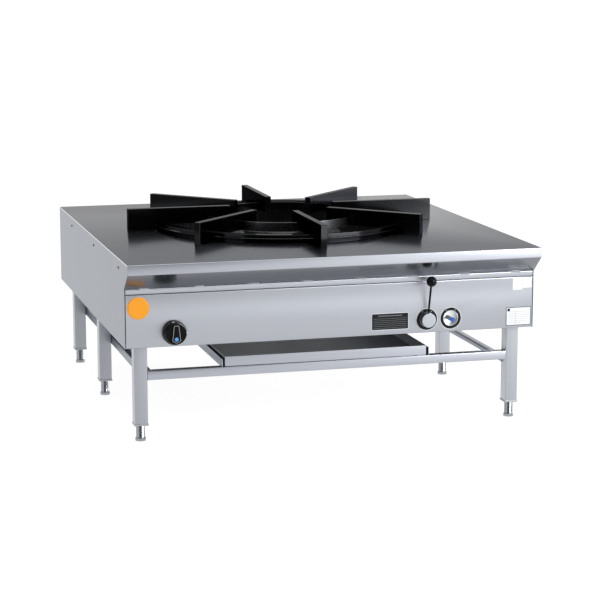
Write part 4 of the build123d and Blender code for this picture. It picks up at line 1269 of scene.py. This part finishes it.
class STOVE_OT_labels(bpy.types.Operator):
    """Builds the badge, plates, ring labels and stickers, all without words"""

    bl_idname = "stove.labels"
    bl_label = "Badge and plates"

    BADGE_STEP = 0.6
    BADGE_RIM = 3.2
    BADGE_EDGE = 0.25
    # How far print stands out from its plate
    PRINT = 0.1
    # Instruction plate: width, height and thickness, and its place under the lever's middle
    PLATE = (111.0, 49.0, 0.8)
    PLATE_DROP = 25.0
    PLATE_CORNER = 3.0
    PLATE_INNER_CORNER = 2.2
    BORDER = 1.4
    TITLE = 3.0
    TITLE_INSET = 20.0
    TITLE_DROP = 9.5
    RULES = 6
    RULE = 1.1
    RULE_INSET = 6.0
    RULE_DROP = 16.5
    RULE_PITCH = 5.4
    # Data plate: width, height and thickness, and its place on the panel
    DATA = (77.0, 54.6, 0.5)
    DATA_FROM_RIGHT = 84.0
    DATA_FROM_BOTTOM = 7.0
    DATA_CORNER = 1.0
    FRAME = 2.4
    GRID_ROWS = 7
    GRID_LINE = 0.8
    GRID_INSET = 5.0
    GRID_DROP = 14.0
    GRID_PITCH = 5.4
    COLUMN_INSET = 30.0
    COLUMN_DROP = 13.0
    SQUARE = 8.0
    SQUARE_INSET = 4.5
    SQUARE_DROP = 12.0
    SQUARE_CORNER = 1.5
    # Ring labels: the piece inside each, and the ring's inner radius
    LABELS = (("lever_hub", 21.5), ("igniter_cup", 22.5))
    LABEL_THICK = 0.4
    MARK = 1.7
    MARK_DEGREES = (60, 120)
    # Stickers: distance from the right side and from the panel's top, width and height
    STICKERS = ((64.0, 38.0, 30.0, 34.6), (33.0, 32.7, 27.0, 31.0))
    STICKER_THICK = 0.2
    STICKER_CORNER = 1.5

    def execute(self, context):
        self.panel_low, self.panel_high = span("control_panel")
        self.side = span("right_side_panel")[1].x
        self.badge()
        self.instruction_plate()
        self.data_plate()
        self.ring_labels()
        self.stickers()
        return {"FINISHED"}

    def sheet(self, name, rows, material, corner=0.0, nodes=()):
        """Thin rectangles on the panel.

        Each row is (left, low, width, height, back, front), with back and front measured out from the panel.
        """
        bm = bmesh.new()
        face_y = self.panel_low.y
        for left, low, width, height, back, front in rows:
            verts = block(bm, (left, face_y - front, low), (left + width, face_y - back, low + height))
            edges = {e for v in verts for e in v.link_edges}
            across = [e for e in edges if abs(e.verts[0].co.y - e.verts[1].co.y) > MERGE]
            round_edges(bm, across, corner)
        piece = to_object(bm, name)
        finish(piece, BODY, [material], 0, nodes)

    def badge(self):
        """A plain disc with a darker step round its edge."""
        low, high = span("badge_disc")
        centre = (low + high) / 2
        radius = (high.x - low.x) / 2
        thick = high.y - low.y
        inner = radius - self.BADGE_RIM
        profile = [
            (0, 0),
            (radius, 0),
            (radius, thick - self.BADGE_STEP),
            (inner, thick - self.BADGE_STEP),
            (inner, thick),
            (0, thick),
        ]
        bm = bmesh.new()
        turned(bm, profile, (centre.x, high.y, centre.z), axis="Y")
        piece = to_object(bm, "badge_disc_enamelled")
        finish(piece, BODY, ["badge"], self.BADGE_EDGE, ["badge_disc"])

    def instruction_plate(self):
        """A dark plate with a white border, a title bar and faint ruled lines."""
        width, height, thick = self.PLATE
        left = span("panel_plates")[0].x
        low = middle("lever_hub").z - self.PLATE_DROP
        back = thick - self.PRINT
        front = thick + self.PRINT
        outer = [(left, low, width, height, 0, back)]
        self.sheet("instruction_plate_border", outer, "white", self.PLATE_CORNER)
        inner = [self.inside(left, low, width, height, thick, self.BORDER)]
        self.sheet("instruction_plate_face", inner, "plate", self.PLATE_INNER_CORNER, ["panel_plates"])
        title_width = width - 2 * self.TITLE_INSET
        title_low = low + height - self.TITLE_DROP
        rules = [(left + self.TITLE_INSET, title_low, title_width, self.TITLE, back, front)]
        rule_width = width - 2 * self.RULE_INSET
        for i in range(self.RULES):
            level = low + height - self.RULE_DROP - i * self.RULE_PITCH
            rules.append((left + self.RULE_INSET, level, rule_width, self.RULE, back, front))
        self.sheet("instruction_plate_rules", rules, "rule")

    def inside(self, left, low, width, height, thick, margin):
        """A row for the face of a plate, inside its border."""
        return (left + margin, low + margin, width - 2 * margin, height - 2 * margin, 0, thick)

    def data_plate(self):
        """A white plate with a grey frame, a ruled grid and a dark square."""
        width, height, thick = self.DATA
        left = self.side - self.DATA_FROM_RIGHT
        low = self.panel_low.z + self.DATA_FROM_BOTTOM
        front = thick + self.PRINT
        line = self.GRID_LINE
        outer = [(left, low, width, height, 0, thick - self.PRINT)]
        self.sheet("data_plate_frame", outer, "frame", self.DATA_CORNER)
        inner = [self.inside(left, low, width, height, thick, self.FRAME)]
        self.sheet("data_plate_face", inner, "white")
        rules = []
        for i in range(self.GRID_ROWS):
            level = low + height - self.GRID_DROP - i * self.GRID_PITCH
            rules.append((left + self.GRID_INSET, level, width - 2 * self.GRID_INSET, line, 0, front))
        column_height = height - self.GRID_INSET - self.COLUMN_DROP
        rules.append((left + self.COLUMN_INSET, low + self.GRID_INSET, line, column_height, 0, front))
        self.sheet("data_plate_rules", rules, "pale_rule")
        square_low = low + height - self.SQUARE_DROP
        square = [(left + self.SQUARE_INSET, square_low, self.SQUARE, self.SQUARE, 0, front)]
        self.sheet("data_plate_square", square, "label", self.SQUARE_CORNER)

    def ring_labels(self):
        """Black foil rings round the lever and the igniter, with white borders and small marks."""
        borders = bmesh.new()
        faces = bmesh.new()
        marks = bmesh.new()
        y = self.panel_low.y
        thick = self.LABEL_THICK
        lowest = span("panel_labels")[0].z
        for node, inner in self.LABELS:
            place = middle(node)
            outer = place.z - lowest
            rim = outer - self.BORDER
            centre = (place.x, y, place.z)
            turned(borders, [(rim, 0), (outer, 0), (outer, thick), (rim, thick)], centre, axis="Y")
            turned(faces, [(inner, 0), (rim, 0), (rim, thick), (inner, thick)], centre, axis="Y")
            radius = (inner + rim) / 2
            for degrees in self.MARK_DEGREES:
                angle = math.radians(degrees)
                x = place.x + radius * math.cos(angle)
                z = place.z + radius * math.sin(angle)
                rod(marks, self.MARK, (x, y - thick - self.PRINT, z), (x, y, z), TINY_CIRCLE)
        finish(to_object(borders, "ring_label_borders"), BODY, ["white"])
        piece = to_object(faces, "ring_label_faces")
        finish(piece, BODY, ["label"], 0, ["panel_labels"])
        finish(to_object(marks, "ring_label_marks"), BODY, ["mark"])

    def stickers(self):
        """Two plain white stickers."""
        rows = []
        for from_right, from_top, width, height in self.STICKERS:
            left = self.side - from_right
            low = self.panel_high.z - from_top
            rows.append((left, low, width, height, 0, self.STICKER_THICK))
        self.sheet("panel_stickers", rows, "white", self.STICKER_CORNER)


class STOVE_OT_stage(bpy.types.Operator):
    """Sets the floor, the light and the camera"""

    bl_idname = "stove.stage"
    bl_label = "Studio"

    # Lengths of the studio are in metres, those of the camera's lens and sensor in millimetres
    CAMERA_PLACE = (-1.5288, -5.7815, 1.3847)
    CAMERA_AZIMUTH = 15.295
    CAMERA_DOWN = 10.441
    CAMERA_LENS = 117.8
    SENSOR = 36.0
    NEAREST = 0.1
    FARTHEST = 200.0
    FLOOR_REACH = 40.0
    FLOOR_SHADE = 0.14
    FLOOR_ROUGHNESS = 0.9
    FLOOR_GLOW = 0.93
    FELT = "#1c1c1c"
    WORLD_LIGHT = 0.8
    # Name, place, target, width, height and power
    LAMPS = (
        ("front_right_lamp", (2.8, -3.3, 1.55), (0, 0, 0.35), 2.4, 1.8, 195),
        ("floor_card_lamp", (1.9, -3.9, 0.02), (1.9, -3.9, 1), 3.0, 1.5, 17),
        ("right_lamp", (3.6, 0.9, 0.95), (0.4, 0, 0.5), 1.6, 1.6, 46),
        ("rear_right_lamp", (3.4, 5.4, 1.4), (0.4, 0, 0.5), 3.0, 1.8, 6),
        ("top_lamp", (0.4, 0.4, 4.2), (0, 0, 0), 3.0, 3.0, 40),
    )
    # Name and corners. One card stands behind the camera and one lies on the floor to the left
    CARDS = (
        ("studio_dark_card", ((-7, -6.6, 0.15), (-7, -6.6, 5.5), (1.5, -6.6, 5.5), (1.5, -6.6, 0.15))),
        (
            "studio_left_card",
            ((-6.5, -3.2, 0.002), (-1.9, -3.2, 0.002), (-1.9, 0.9, 0.002), (-6.5, 0.9, 0.002)),
        ),
    )

    def execute(self, context):
        scene = context.scene
        self.floor()
        for name, corners in self.CARDS:
            self.dark_card(name, corners)
        self.world(scene)
        for row in self.LAMPS:
            self.lamp(scene, *row)
        self.camera(scene)
        scene.view_settings.view_transform = "Standard"
        return {"FINISHED"}

    def floor(self):
        """A floor that glows white where it is seen and keeps a faint shadow."""
        bm = bmesh.new()
        bmesh.ops.create_grid(bm, x_segments=1, y_segments=1, size=self.FLOOR_REACH)
        floor = new_object(bm, "studio_floor")
        material, tree, shader = new_material("studio_floor_paint")
        shade = self.FLOOR_SHADE
        shader.inputs["Base Color"].default_value = (shade, shade, shade, 1)
        shader.inputs["Roughness"].default_value = self.FLOOR_ROUGHNESS
        shader.inputs["Specular IOR Level"].default_value = 0.0
        shader.inputs["Emission Color"].default_value = (1, 1, 1, 1)
        glow = {0: self.seen(tree), 1: self.FLOOR_GLOW}
        strength = add_node(tree, "ShaderNodeMath", glow, operation="MULTIPLY")
        tree.links.new(strength.outputs[0], shader.inputs["Emission Strength"])
        floor.data.materials.append(material)

    def dark_card(self, name, corners):
        """A dark card that only gloss sees, as a studio sets dark cards round bright metal."""
        bm = bmesh.new()
        outline_face(bm, corners)
        card = new_object(bm, name)
        material, _, shader = new_material("studio_black_felt")
        shader.inputs["Base Color"].default_value = srgb(self.FELT)
        shader.inputs["Roughness"].default_value = 1.0
        card.data.materials.append(material)
        for ray in ("camera", "diffuse", "shadow", "transmission", "volume_scatter"):
            setattr(card, "visible_" + ray, False)

    def seen(self, tree):
        """A value of 1 where the camera sees a surface, directly, mirrored or through glass."""
        rays = add_node(tree, "ShaderNodeLightPath")
        value = rays.outputs["Is Camera Ray"]
        for name in ("Is Glossy Ray", "Is Transmission Ray"):
            both = {0: value, 1: rays.outputs[name]}
            value = add_node(tree, "ShaderNodeMath", both, operation="MAXIMUM").outputs[0]
        return value

    def world(self, scene):
        """A plain light world that is white where it is seen."""
        world = bpy.data.worlds.new("studio_world")
        scene.world = world
        world.use_nodes = True
        tree = world.node_tree
        plain = tree.nodes["Background"]
        plain.inputs["Color"].default_value = (1, 1, 1, 1)
        plain.inputs["Strength"].default_value = self.WORLD_LIGHT
        white = add_node(tree, "ShaderNodeBackground", {"Color": (1, 1, 1, 1), "Strength": 1.0})
        both = {0: self.seen(tree), 1: plain.outputs[0], 2: white.outputs[0]}
        mix = add_node(tree, "ShaderNodeMixShader", both)
        tree.links.new(mix.outputs[0], tree.nodes["World Output"].inputs["Surface"])

    def lamp(self, scene, name, place, target, width, height, power):
        """A soft oblong lamp that points at a place."""
        data = bpy.data.lights.new(name, "AREA")
        data.shape = "RECTANGLE"
        data.size = width
        data.size_y = height
        data.energy = power
        lamp = bpy.data.objects.new(name, data)
        lamp.visible_camera = False
        lamp.location = place
        lamp.rotation_mode = "QUATERNION"
        lamp.rotation_quaternion = (Vector(target) - Vector(place)).to_track_quat("-Z", "Y")
        scene.collection.objects.link(lamp)

    def camera(self, scene):
        """The camera at the photograph's viewing angle."""
        data = bpy.data.cameras.new("camera")
        data.lens = self.CAMERA_LENS
        data.sensor_width = self.SENSOR
        data.clip_start = self.NEAREST
        data.clip_end = self.FARTHEST
        camera = bpy.data.objects.new("camera", data)
        azimuth = math.radians(self.CAMERA_AZIMUTH)
        down = math.radians(self.CAMERA_DOWN)
        level = math.cos(down)
        forward = Vector((math.sin(azimuth) * level, math.cos(azimuth) * level, -math.sin(down)))
        camera.location = self.CAMERA_PLACE
        camera.rotation_mode = "QUATERNION"
        camera.rotation_quaternion = forward.to_track_quat("-Z", "Y")
        scene.collection.objects.link(camera)
        scene.camera = camera


OPERATORS = (
    STOVE_OT_body,
    STOVE_OT_stand,
    STOVE_OT_tray,
    STOVE_OT_trivet,
    STOVE_OT_burner,
    STOVE_OT_gas_train,
    STOVE_OT_knob,
    STOVE_OT_lever,
    STOVE_OT_igniter,
    STOVE_OT_labels,
    STOVE_OT_stage,
)


class STOVE_PT_panel(bpy.types.Panel):
    """Lists the pieces of the stove"""

    bl_label = "Stockpot stove"
    bl_idname = "STOVE_PT_panel"
    bl_space_type = "VIEW_3D"
    bl_region_type = "UI"
    bl_category = "Stove"

    def draw(self, context):
        for operator in OPERATORS:
            self.layout.operator(operator.bl_idname)
        for group in (context.scene.stove_sizes, context.scene.stove_colours):
            for name in group.__annotations__:
                self.layout.prop(group, name)


CLASSES = (StoveSizes, StoveColours, *OPERATORS, STOVE_PT_panel)


def register():
    """Registers the classes and the scene's settings."""
    for each in CLASSES:
        bpy.utils.register_class(each)
    bpy.types.Scene.stove_sizes = bpy.props.PointerProperty(type=StoveSizes)
    bpy.types.Scene.stove_colours = bpy.props.PointerProperty(type=StoveColours)


def unregister():
    """Removes the scene's settings and the classes."""
    del bpy.types.Scene.stove_colours
    del bpy.types.Scene.stove_sizes
    for each in reversed(CLASSES):
        bpy.utils.unregister_class(each)


def main():
    """Builds everything in order."""
    register()
    finishes.update(make_materials(bpy.context.scene.stove_colours))
    for operator in OPERATORS:
        group, name = operator.bl_idname.split(".")
        getattr(getattr(bpy.ops, group), name)()


if __name__ == "__main__":
    main()
